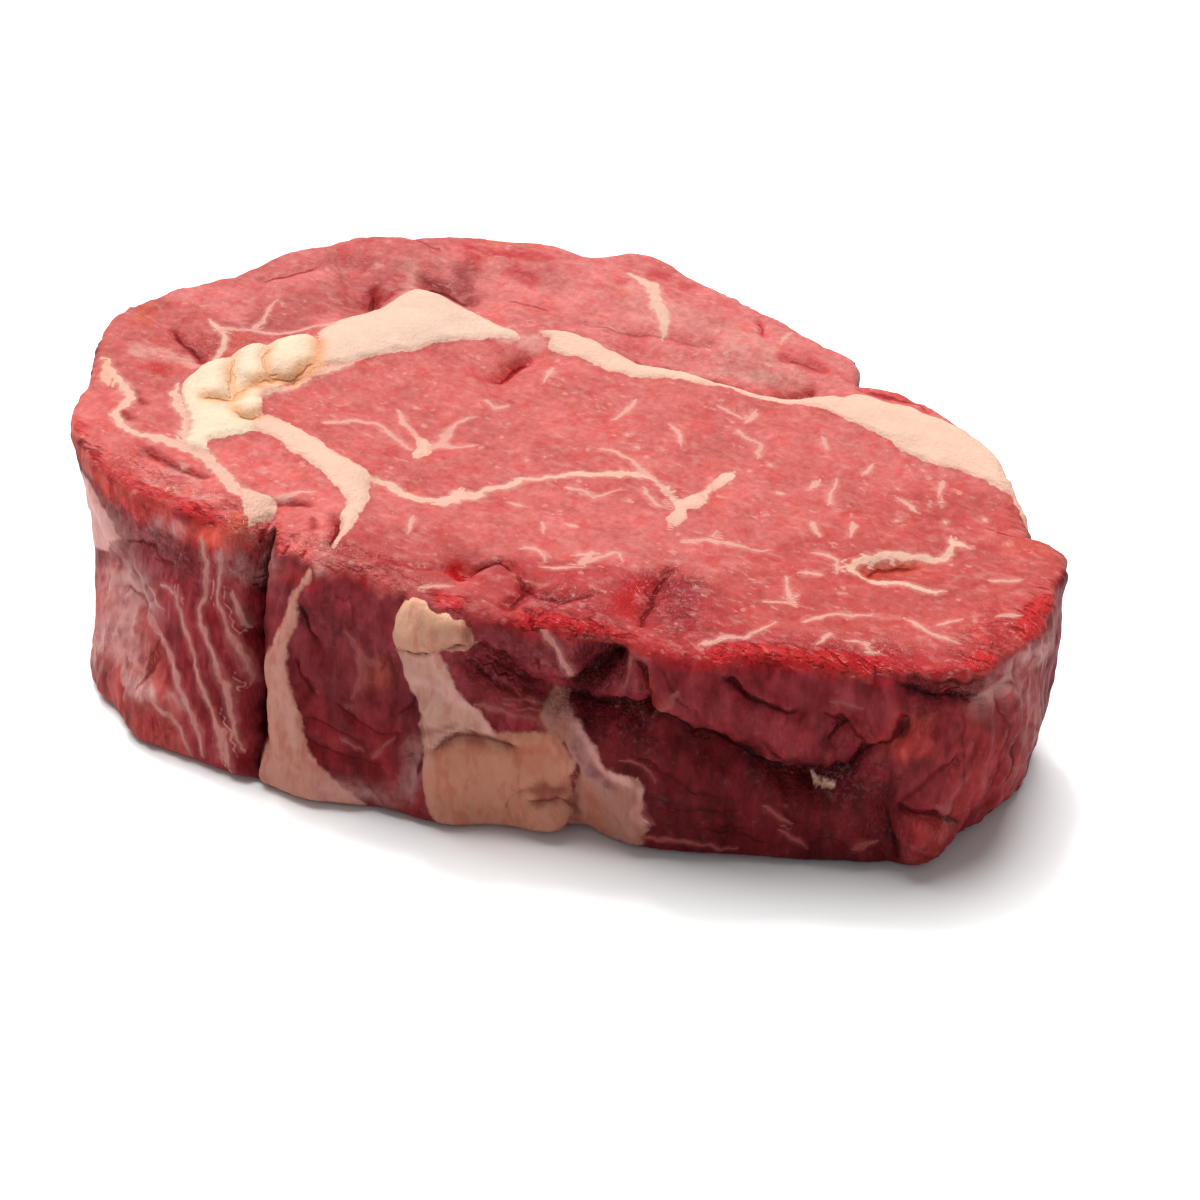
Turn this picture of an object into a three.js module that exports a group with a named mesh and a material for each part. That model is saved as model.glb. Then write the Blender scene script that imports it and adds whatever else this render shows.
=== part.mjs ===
// A raw ribeye steak: one thick slab of beef, cut across the rib muscles and lying on its wider face.
// Millimetres, +Z up. +X runs along the steak to its rounded end, and -Y is the long, cut front side.
// "Run" is the distance along the rim of the upper face, anticlockwise from the small muscles' end.
import * as THREE from "three";

// Driving dimensions
const MID_THICKNESS = 44.7; // at x = 0
const THICKNESS_SLOPE = -0.033; // mm per mm of x: the end with the small muscles is the thicker one
const RUN_START = 1.7; // run at the rim's first point
const TOP_EDGE_RADIUS = 2.2;
const BOTTOM_EDGE_RADIUS = 2.6;

// Grid of the surface
const STATIONS = 172; // round the rim
const TOP_RINGS = 15;
const RING_SPREAD = 0.8; // below 1, the rings crowd towards the rim
const EDGE_STEPS = 3;
const WALL_STEPS = 10;
const BOTTOM_RINGS = 2;

// The rim of the upper face, seen from above
const RIM = [
  [-93, -5], [-92, -16], [-87.7, -25], [-84.5, -33.3], [-79.5, -41.9], [-70.3, -48.2], [-55, -51.5],
  [-36, -53.5], [-18, -53], [0, -51.5], [14, -50], [28, -47], [44, -44], [56, -38], [70, -32],
  [82, -27.5], [89, -21], [92, -8], [90.7, 4], [87.3, 14.2], [80.2, 19], [71.5, 27.3], [61.4, 36.7],
  [50.3, 42.2], [37.2, 46], [30, 50.2], [14, 53.8], [0, 57], [-13, 60.5], [-21, 60.5], [-27, 57],
  [-39.8, 53.8], [-55.5, 46.3], [-70.2, 35.8], [-76.6, 25.6], [-82, 14.4], [-88.8, 5],
];

// How far the foot of the wall stands out from the rim, by direction from the middle in degrees
const FLARE = [
  [0, -3.2], [40, -2], [90, -3], [140, -3], [180, -5], [198, -3.4], [208, -0.8], [218, 7.2], [226, 11.6],
  [250, 10], [268, 6.8], [288, 0.2], [320, 1], [339, 1.2], [347, -6.8], [354, -5],
];

// How far the wall swells (or draws in) at half its height
const SWELL = [
  [0, 1.2], [60, 1], [120, 1.5], [180, 0], [200, -1.8], [212, -2.4], [224, -0.6], [240, 0.5], [262, 1],
  [300, 1.5], [335, 1.5], [346, 4.2], [354, 3.2],
];

// Relief of the upper face: a path of [x, y], how wide the form is, and its lift (sunk if negative)
const TOP_FORMS = [
  // the broad kernel of fat and the crumbly lumps at its lower end
  { path: [[-47, 23], [-40, 21], [-46, 12], [-50, 4]], width: 6, lift: 1.3 },
  { path: [[-57, -3], [-54, -7]], width: 4.2, lift: 2.3 },
  { path: [[-61.5, -9.5], [-58, -14]], width: 4.2, lift: 2.4 },
  { path: [[-65, -17.5], [-61.5, -22]], width: 4, lift: 2.2 },
  { path: [[-52.8, -23.8]], width: 3, lift: 1.7 },
  { path: [[-60, -28], [-56, -33]], width: 4, lift: 0.8 },
  // the seam of fat from the kernel to the front rim
  { path: [[-48, -26], [-38, -28], [-28, -31], [-23, -38], [-20, -47]], width: 4, lift: 1 },
  // the seam of fat behind the eye, widening to the fat cap at the rounded end
  { path: [[-20, 25], [0, 26], [20, 28]], width: 4, lift: 0.9 },
  { path: [[36, 34], [52, 33], [66, 29]], width: 6, lift: 1.2 },
  // the cap muscle's folds, and the hollow where it meets the kernel
  { path: [[-71, 26], [-56, 37], [-36, 44], [-14, 48], [12, 43]], width: 7, lift: 1.2 },
  { path: [[-64, 28], [-60, 23], [-56, 20]], width: 3.6, lift: -2.8 },
  { path: [[-50, 31], [-44, 32], [-38, 30]], width: 4.5, lift: -2.6 },
  { path: [[-42, 38], [-28, 40]], width: 4.5, lift: -1.6 },
  { path: [[-4, 30], [8, 32], [20, 32], [28, 36]], width: 4, lift: -1.8 },
  { path: [[-86, -4], [-79, -8], [-72, -11]], width: 4, lift: -1.8 },
  // gashes and pits in the eye and at the front rim
  { path: [[-21, 20], [-22, 11]], width: 4, lift: -1.5 },
  { path: [[1, -42]], width: 4, lift: -2 },
  { path: [[31, -27], [33, -38]], width: 4, lift: -1.4 },
  { path: [[62, -6], [70, 1]], width: 4, lift: -1.2 },
  { path: [[-34, -46], [-32, -52]], width: 4, lift: -1.6 },
  { path: [[-70, -46], [-52, -49]], width: 4.5, lift: -1.2 },
];

// Relief of the wall: a path of [run, height], how wide the form is, and its lift
const WALL_FORMS = [
  // the lined muscle block: pinched at its waist, rounded below, with the deep slit beyond it
  { path: [[28, 46], [30, 20], [32, 0]], width: 4, lift: -1.4 },
  { path: [[56, 26], [66, 24]], width: 6, lift: -1.6 },
  { path: [[64, 8], [72, 8]], width: 8, lift: 2.4 },
  { path: [[81, 30], [86, 12]], width: 5, lift: 1 },
  { path: [[91, 46], [91.4, 30], [92.8, 16], [94, 8]], width: 2.8, lift: -4.6 },
  { path: [[94.4, -2]], width: 3, lift: -2 },
  // the band of fat and the muscle beside it
  { path: [[105, 44], [99, 31], [98.5, 14], [104, 3]], width: 3.6, lift: 1.3 },
  { path: [[112, 36], [114, 18]], width: 6, lift: 1 },
  { path: [[119, 30], [123, 12]], width: 3.4, lift: -1 },
  // the lump of fat under the rim, and the big lump on the foot
  { path: [[124, 39], [128, 40]], width: 5, lift: 2.6 },
  { path: [[130, 12], [141, 11]], width: 8, lift: 2.6 },
  { path: [[133, 0], [142, 0]], width: 6, lift: 2.4 },
  { path: [[147, 5]], width: 3.6, lift: 1.4 },
  { path: [[151, 0]], width: 3.6, lift: -2.4 },
  { path: [[150, 23], [157, 13], [161, 6]], width: 4, lift: 1.2 },
  // the dark cleft under the front rim and the long crease that leaves it
  { path: [[155, 38], [152, 32], [148, 29]], width: 4, lift: -4.2 },
  { path: [[136, 34], [143, 30]], width: 3.4, lift: -1.6 },
  { path: [[152, 27], [163, 29.5], [174, 25.5], [184, 19.5], [190, 17.5]], width: 3.4, lift: -2.4 },
  { path: [[163, 37], [176, 35], [186, 31]], width: 5, lift: 1.4 },
  { path: [[190, 18], [197, 21], [203, 27], [206, 32]], width: 3, lift: -1.6 },
  { path: [[196, 27]], width: 5, lift: -1.4 },
  { path: [[206, 29]], width: 4, lift: 1.5 },
  // the lower corner of the rounded end
  { path: [[203, 14], [205, 2]], width: 3.4, lift: -1.8 },
  { path: [[210, 8]], width: 5.5, lift: 3 },
  { path: [[213, 38], [226, 39]], width: 3.6, lift: -1.4 },
  { path: [[224, 34], [228, 6]], width: 3.4, lift: 1 },
  // the hidden side: the fat cap's swell, and the creases where the muscles end
  { path: [[264, 46], [262, 0]], width: 4, lift: -2 },
  { path: [[284, 26], [300, 22]], width: 12, lift: 2 },
  { path: [[317, 46], [319, 22], [315, 0]], width: 4, lift: -3.2 },
  { path: [[345, 32], [352, 8]], width: 9, lift: 1.8 },
  { path: [[362, 20], [384, 23], [402, 16]], width: 4, lift: -2.2 },
  { path: [[386, 46], [384, 34]], width: 3.6, lift: -2.4 },
  { path: [[412, 34], [424, 12]], width: 8, lift: 1.8 },
  { path: [[440, 44], [436, 24], [442, 0]], width: 4, lift: -2.2 },
  { path: [[470, 40], [466, 22]], width: 5, lift: -1.4 },
];

const RIPPLE = 0.45; // soft unevenness all over the skin of the wall
const TOP_RIPPLE = 0.3;

// Value at a direction, eased between the keys on either side of it
function around(keys, degrees) {
  const count = keys.length;
  for (let i = 0; i < count; i += 1) {
    const [from, a] = keys[i];
    const [next, b] = keys[(i + 1) % count];
    const to = i + 1 < count ? next : next + 360;
    if (degrees >= from && degrees < to) {
      return THREE.MathUtils.lerp(a, b, THREE.MathUtils.smoothstep(degrees, from, to));
    }
  }
  return keys[0][1];
}

function distanceToSegment(u, v, [au, av], [bu, bv]) {
  const du = bu - au;
  const dv = bv - av;
  const length2 = du * du + dv * dv;
  const along = length2 ? THREE.MathUtils.clamp(((u - au) * du + (v - av) * dv) / length2, 0, 1) : 0;
  return Math.hypot(u - au - along * du, v - av - along * dv);
}

// Sum of the forms' lifts at a place, each fading away from its path
function lift(forms, u, v) {
  let sum = 0;
  for (const form of forms) {
    const { path, width } = form;
    let distance = distanceToSegment(u, v, path[0], path[0]);
    for (let i = 1; i < path.length; i += 1) {
      distance = Math.min(distance, distanceToSegment(u, v, path[i - 1], path[i]));
    }
    sum += form.lift * Math.exp(-((distance / width) ** 2));
  }
  return sum;
}

function ripple(u, v) {
  return Math.sin(u * 0.21 + 1.3 * Math.sin(v * 0.17)) * Math.cos(v * 0.24 + 1.1 * Math.sin(u * 0.13));
}

function thickness(x) {
  return MID_THICKNESS + THICKNESS_SLOPE * x;
}

function topHeight(x, y) {
  return thickness(x) + lift(TOP_FORMS, x, y) + TOP_RIPPLE * ripple(x, y);
}

// Stations round the rim, each with its point, outward direction and run
function makeStations() {
  const curve = new THREE.CatmullRomCurve3(RIM.map(([x, y]) => new THREE.Vector3(x, y, 0)), true);
  const points = curve.getSpacedPoints(STATIONS).slice(0, STATIONS);
  const step = curve.getLength() / STATIONS;
  return points.map((point, i) => {
    const before = points[(i + STATIONS - 1) % STATIONS];
    const after = points[(i + 1) % STATIONS];
    const along = after.clone().sub(before).normalize();
    const degrees = (THREE.MathUtils.radToDeg(Math.atan2(point.y, point.x)) + 360) % 360;
    return {
      point,
      outward: new THREE.Vector3(along.y, -along.x, 0),
      run: RUN_START + i * step,
      flare: around(FLARE, degrees),
      swell: around(SWELL, degrees),
    };
  });
}

// Point of the wall at a height share from the foot (0) to the rim (1), moved in by an inset
function wallPoint(station, share, inset) {
  const { point, outward, run, flare, swell } = station;
  const z = share * thickness(point.x);
  const forms = lift(WALL_FORMS, run, z) + RIPPLE * ripple(run, z);
  const out = flare * (1 - share) + swell * Math.sin(Math.PI * share) + forms - inset;
  const placed = point.clone().addScaledVector(outward, out);
  const nearRim = THREE.MathUtils.smoothstep(share, 0.6, 1);
  return placed.setZ(z + nearRim * (topHeight(placed.x, placed.y) - thickness(placed.x)));
}

// Rows of points from the middle of the upper face, over the rim, down the wall and under
function makeRows(stations) {
  const rows = [];
  const topShare = 1 - TOP_EDGE_RADIUS / MID_THICKNESS;
  const footShare = BOTTOM_EDGE_RADIUS / MID_THICKNESS;
  const rowAt = (share, inset) => stations.map((station) => wallPoint(station, share, inset));

  const edge = rowAt(1, TOP_EDGE_RADIUS);
  for (let k = 1; k <= TOP_RINGS; k += 1) {
    rows.push(edge.map((point) => {
      const inner = point.clone().multiplyScalar((k / TOP_RINGS) ** RING_SPREAD);
      return inner.setZ(topHeight(inner.x, inner.y));
    }));
  }
  for (let k = 1; k <= EDGE_STEPS; k += 1) {
    const turn = (k / EDGE_STEPS) * Math.PI * 0.5;
    const share = THREE.MathUtils.lerp(topShare, 1, Math.cos(turn));
    rows.push(rowAt(share, TOP_EDGE_RADIUS * (1 - Math.sin(turn))));
  }
  for (let k = 1; k <= WALL_STEPS; k += 1) {
    rows.push(rowAt(THREE.MathUtils.lerp(topShare, footShare, k / WALL_STEPS), 0));
  }
  const roundShare = 0.3; // of the foot's edge, where its rounding is half way
  rows.push(rowAt(footShare * roundShare, BOTTOM_EDGE_RADIUS * roundShare));
  const foot = rowAt(0, BOTTOM_EDGE_RADIUS);
  for (let k = 0; k < BOTTOM_RINGS; k += 1) {
    rows.push(foot.map((point) => point.clone().multiplyScalar(1 - k / BOTTOM_RINGS).setZ(0)));
  }
  return rows;
}

// One closed surface through the rows, with a point in the middle of each face
function makeGeometry(rows) {
  const positions = [];
  rows.forEach((row) => row.forEach((point) => positions.push(point.x, point.y, point.z)));
  const at = (row, i) => row * STATIONS + (i % STATIONS);
  const index = [];
  for (let row = 0; row + 1 < rows.length; row += 1) {
    for (let i = 0; i < STATIONS; i += 1) {
      index.push(at(row, i), at(row + 1, i), at(row + 1, i + 1));
      index.push(at(row, i), at(row + 1, i + 1), at(row, i + 1));
    }
  }
  const topMiddle = positions.length / 3;
  positions.push(0, 0, topHeight(0, 0), 0, 0, 0);
  for (let i = 0; i < STATIONS; i += 1) {
    index.push(topMiddle, at(0, i), at(0, i + 1));
    index.push(topMiddle + 1, at(rows.length - 1, i + 1), at(rows.length - 1, i));
  }
  const geometry = new THREE.BufferGeometry();
  geometry.setAttribute("position", new THREE.Float32BufferAttribute(positions, 3));
  geometry.setIndex(index);
  geometry.computeBoundingBox();
  const middle = geometry.boundingBox.getCenter(new THREE.Vector3());
  geometry.translate(-middle.x, -middle.y, -geometry.boundingBox.min.z);
  geometry.computeVertexNormals();
  return geometry;
}

const meat = new THREE.MeshStandardMaterial({ color: 0xb03a40, roughness: 0.45, metalness: 0 });
const steak = new THREE.Mesh(makeGeometry(makeRows(makeStations())), meat);
steak.name = "ribeye_steak";

const group = new THREE.Group();
group.add(steak);

export default group;
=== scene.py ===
import math
from functools import partial

import bpy
import numpy as np
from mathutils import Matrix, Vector


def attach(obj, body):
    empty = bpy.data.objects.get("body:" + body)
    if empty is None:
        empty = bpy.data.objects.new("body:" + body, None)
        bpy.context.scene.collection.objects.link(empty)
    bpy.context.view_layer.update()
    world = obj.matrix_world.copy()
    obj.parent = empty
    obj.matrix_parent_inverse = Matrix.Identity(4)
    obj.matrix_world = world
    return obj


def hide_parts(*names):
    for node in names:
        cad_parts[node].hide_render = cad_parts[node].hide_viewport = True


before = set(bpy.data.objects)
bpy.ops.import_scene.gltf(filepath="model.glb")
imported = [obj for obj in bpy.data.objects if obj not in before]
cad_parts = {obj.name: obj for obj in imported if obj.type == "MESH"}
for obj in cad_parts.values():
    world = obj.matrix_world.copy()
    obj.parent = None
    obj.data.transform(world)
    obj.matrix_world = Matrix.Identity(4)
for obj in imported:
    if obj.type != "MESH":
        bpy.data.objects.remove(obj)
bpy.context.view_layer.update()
print("frame loaded")

# Raw ribeye steak. Shapes are worked out in millimetres on the steak's own plan and turned to metres
# at the end. Top features are placed by [x, y]. Wall features are placed by [run, height], the run
# being the way round the rim from the small muscles' end, anticlockwise.

slab = {
    "thickness": 44.7,  # at x = 0
    "taper": -0.033,  # mm per mm of x
    "rimRound": 2.2,
    "footRound": 2.6,
    "columns": 768,  # round the rim, a multiple of 16
    "curveSteps": 60,  # from one point of the plan to the next, before the rim is cut into columns
    "easing": 48,  # a notch of the rim is eased over this share of its length, either side
    "rimLength": 478,
    "footScale": 0.985,
    "rimRows": 6,
    "wallRows": 50,
    "footRows": 4,
    "runStart": 1.7,
    "ripple": 0.45,
    "topRipple": 0.3,
    "shift": (-0.109, 1.386),  # from the plan's own middle to the frame's
    "tear": 0.8,  # mm by which the cut edge of the rim is torn back
    "looseCreases": 36,
    "warp": 0.8,  # mm by which outlines and creases wander
    "fineWarp": 0.3,
    "seed": 7,
}

rimPlan = [
    (-93, -5), (-92, -16), (-87.7, -25), (-84.5, -33.3), (-79.5, -41.9), (-70.3, -48.2), (-55, -51.5),
    (-36, -53.5), (-18, -53), (0, -51.5), (14, -50), (28, -47), (44, -44), (56, -38), (70, -32),
    (82, -27.5), (89, -21), (92, -8), (90.7, 4), (87.3, 14.2), (80.2, 19), (71.5, 27.3), (61.4, 36.7),
    (50.3, 42.2), (37.2, 46), (30, 50.2), (14, 53.8), (0, 57), (-13, 60.5), (-21, 60.5), (-27, 57),
    (-39.8, 53.8), (-55.5, 46.3), (-70.2, 35.8), (-76.6, 25.6), (-82, 14.4), (-88.8, 5),
]

# How far the foot stands out from the rim, and how far the wall swells half way up, by direction
footFlare = [
    (0, -3.2), (40, -2), (90, -3), (140, -3), (180, -5), (198, -3.4), (208, -0.8), (218, 7.2), (226, 11.6),
    (250, 10), (268, 6.8), (288, 0.2), (320, 1), (339, 1.2), (347, -6.8), (354, -5),
]
wallSwell = [
    (0, 1.2), (60, 1), (120, 1.5), (180, 0), (200, -1.8), (212, -2.4), (224, -0.6), (240, 0.5), (262, 1),
    (300, 1.5), (335, 1.5), (346, 4.2), (354, 3.2),
]

rimKeys = [  # how red and torn the rim is, by run
    (0, 0.2), (40, 0.25), (60, 0.7), (92, 0.8), (100, 0.45), (120, 0.6), (128, 0.5), (160, 1),
    (235, 1), (250, 0.4), (303, 0.12), (478, 0.2),
]

# Paths that both the relief and the colours follow, on the cut face and then on the wall
folds = {
    "leftFold": [(-83, -5.5), (-80, -8), (-77, -9.5), (-74, -10.5), (-71.5, -12)],
    "lumpSeamRight": [(-51.4, -6), (-52.4, -11.6), (-55.1, -13.1), (-56.6, -17)],
    "lumpSeamLow": [(-61.5, -25.3), (-58.7, -24.1), (-56.8, -22.2), (-57.5, -18.4)],
    "lumpSeamFront": [(-50.7, -23.9), (-51.2, -25.9), (-54, -25.9), (-56, -24.6)],
    "lumpSeamUpper": [(-60.2, -6.5), (-58.4, -10.4), (-55.5, -14.4)],
    "lumpSeamLeft": [(-64.4, -12.1), (-62.4, -16.6), (-58.1, -21.3)],
    "seamGash": [(-22.5, -43), (-21, -46.5), (-20.5, -48.5)],
    "leftCornerFold": [(-63, -42), (-54, -43.5), (-50, -43)],
    "wedgeFold": [(-36, -43), (-34, -41), (-29, -40.5)],
    "capGroove": [(-2, 28), (2, 29.5), (6, 30), (16, 30), (20, 30.3), (23, 32), (28, 36)],
    "kernelGash": [(-21.5, 19), (-22.5, 15), (-22, 11)],
    "shallowFold": [(-1, -43), (-5, -46), (-12, -48)],
    "rimGash": [(13, -41), (14, -44), (14, -47.5)],
    "rimNotch": [(19, -45), (18, -48), (20, -50)],
    "eyeGash": [(31.5, -25), (32, -31), (33.5, -36), (34.5, -39)],
    "hookFold": [(60.5, -8), (61, -5), (64, -3.5), (67, -1)],
    "farFold": [(37, 41), (47, 41.3), (50, 40)],
    "capFold": [(20, 42), (27, 43.5)],
    "capNick": [(10, 50), (13, 46)],
    "lumpBrow": [(127.2, 16.1), (129.4, 18.5), (132.5, 19.2), (136.2, 19.6), (141, 19.1)],
    "lumpDent": [(143.9, 8.1), (145.1, 9.1), (147.5, 10.1), (149.6, 8.4), (150.3, 7.2)],
    "rightRimFold": [(204, 40), (209, 38.4), (217, 36.5)],
    "rightFootFold": [(206, 15.5), (210.6, 15), (216, 9)],
    "flapFold": [(190, 18.5), (197, 22), (203, 28), (206, 32.5)],
    "fatCapCrease": [(262, 44), (263, 26), (261, 6)],
    "notchCrease": [(317, 44), (319, 22), (315, 4)],
    "backCrease": [(362, 20), (384, 23), (402, 16)],
    "leftEndCrease": [(440, 44), (436, 24), (442, 4)],
}

# Relief of the cut face: path, width, lift
topForms = [
    ([(-47, 23), (-40, 21), (-46, 12), (-50, 4)], 6, 1.3),  # kernel of fat
    ([(-57, -3), (-54, -7)], 4.2, 2.3),  # crumbly lumps
    ([(-61.5, -9.5), (-58, -14)], 4.2, 2.4),
    ([(-65, -17.5), (-61.5, -22)], 4, 2.2),
    ([(-52.8, -23.8)], 3, 1.7),
    ([(-60, -28), (-56, -33)], 4, 0.8),
    ([(-48, -26), (-38, -28), (-28, -31), (-23, -38), (-20, -47)], 4, 1),  # front seam
    ([(-20, 25), (0, 26), (20, 28)], 4, 0.9),  # far seam
    ([(36, 34), (52, 33), (66, 29)], 6, 1.2),
    ([(-71, 26), (-56, 37), (-36, 44), (-14, 48), (12, 43)], 7, 1.2),  # cap muscle
    ([(-64, 28), (-60, 23), (-56, 20)], 3.6, -2.8),
    ([(-50, 31), (-44, 32), (-38, 30)], 4.5, -2.6),
    ([(-42, 38), (-28, 40)], 4.5, -1.6),
    ([(-4, 30), (8, 32), (20, 32), (28, 36)], 4, -1.8),
    ([(-86, -4), (-79, -8), (-72, -11)], 4, -1.8),
    ([(-21, 20), (-22, 11)], 4, -1.5),  # gashes and pits
    ([(1, -42)], 4, -2),
    ([(31, -27), (33, -38)], 4, -1.4),
    ([(62, -6), (70, 1)], 4, -1.2),
    ([(-34, -46), (-32, -52)], 4, -1.6),
    ([(-70, -46), (-52, -49)], 4.5, -1.2),
]
topCuts = [  # the finer folds, lips and creases
    (folds["leftFold"], 1, -0.8),
    (folds["lumpSeamRight"], 1, -0.9),
    (folds["lumpSeamLow"], 1, -0.9),
    (folds["lumpSeamFront"], 0.9, -0.8),
    (folds["lumpSeamUpper"], 1.1, -1.2),
    (folds["lumpSeamLeft"], 1.1, -1.2),
    (folds["seamGash"], 1.2, -1.6),
    (folds["leftCornerFold"], 0.9, -0.6),
    ([(-34.5, -46), (-34.5, -49), (-32, -53)], 1.2, -1.2),
    ([(-28, -50), (-27, -56)], 1.1, -1),
    ([(-24, -51), (-23, -57)], 1, -0.9),
    (folds["wedgeFold"], 0.8, -0.5),
    (folds["capGroove"], 1.2, -1.2),
    ([(-58, 24), (-55, 20), (-53.5, 17.5)], 1.3, -1),
    ([(-50, 31), (-45, 32), (-41, 31.5)], 1.3, -1.1),
    (folds["kernelGash"], 1.1, -1.3),
    ([(3, -40), (6, -37), (9, -37.5)], 0.9, -0.9),
    ([(1.5, -41.8)], 2, -1.4),
    (folds["shallowFold"], 1, -0.5),
    ([(9, -37.5), (11, -39), (13, -41), (16, -42.3), (20, -42), (22, -40), (24, -38), (25.5, -36.5)],
      0.9, -0.8),
    (folds["rimGash"], 1.1, -0.9),
    (folds["rimNotch"], 1.3, -0.9),
    (folds["eyeGash"], 0.9, -1),
    (folds["hookFold"], 1, -0.8),
    (folds["farFold"], 1, -0.7),
    ([(-18, 33), (-6, 36), (6, 38)], 1.1, -0.5),
    ([(-34, 33), (-24, 35)], 1.2, -0.6),
    ([(-60, 42), (-52, 40)], 1.2, -0.6),
    ([(-76, 14), (-72, 19), (-68, 23)], 1.3, -0.7),
    (folds["capFold"], 1, -0.6),
    (folds["capNick"], 1, -0.6),
]

# Relief of the wall: path, width, lift
wallForms = [
    ([(28, 46), (30, 20), (32, 0)], 4, -1.4),  # lined muscle block
    ([(56, 26), (66, 24)], 6, -1.6),
    ([(64, 8), (72, 8)], 8, 2.4),
    ([(81, 30), (86, 12)], 5, 1),
    ([(91, 46), (91.4, 30), (92.8, 16), (94, 8)], 2.8, -4.6),  # slit
    ([(94.4, -2)], 3, -2),
    ([(105, 44), (99, 31), (98.5, 14), (104, 3)], 3.6, 1.3),  # band of fat
    ([(112, 36), (114, 18)], 6, 1),
    ([(119, 30), (123, 12)], 3.4, -1),
    ([(124, 39), (128, 40)], 5, 2.6),  # lumps of fat
    ([(130, 12), (141, 11)], 8, 2.6),
    ([(133, 0), (142, 0)], 6, 2.4),
    ([(147, 5)], 3.6, 1.4),
    ([(151, 0)], 3.6, -2.4),
    ([(150, 23), (157, 13), (161, 6)], 4, 1.2),
    ([(155, 38), (152, 32), (148, 29)], 4, -4.2),  # cleft
    ([(136, 34), (143, 30)], 3.4, -1.6),
    ([(152, 27), (163, 29.5), (174, 25.5), (184, 19.5), (190, 17.5)], 3.4, -2.4),  # long crease
    ([(163, 37), (176, 35), (186, 31)], 5, 1.4),
    ([(190, 18), (197, 21), (203, 27), (206, 32)], 3, -1.6),
    ([(206, 29)], 4, 1.5),
    ([(196, 27)], 5, -1.4),
    ([(203, 14), (205, 2)], 3.4, -1.8),
    ([(210, 8)], 5.5, 3),
    ([(213, 38), (226, 39)], 3.6, -1.4),
    ([(224, 34), (228, 6)], 3.4, 1),
    ([(264, 46), (262, 0)], 4, -2),  # hidden side
    ([(284, 26), (300, 22)], 12, 2),
    ([(317, 46), (319, 22), (315, 0)], 4, -3.2),
    ([(345, 32), (352, 8)], 9, 1.8),
    (folds["backCrease"], 4, -2.2),
    ([(386, 46), (384, 34)], 3.6, -2.4),
    ([(412, 34), (424, 12)], 8, 1.8),
    ([(440, 44), (436, 24), (442, 0)], 4, -2.2),
    ([(470, 40), (466, 22)], 5, -1.4),
]
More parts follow.
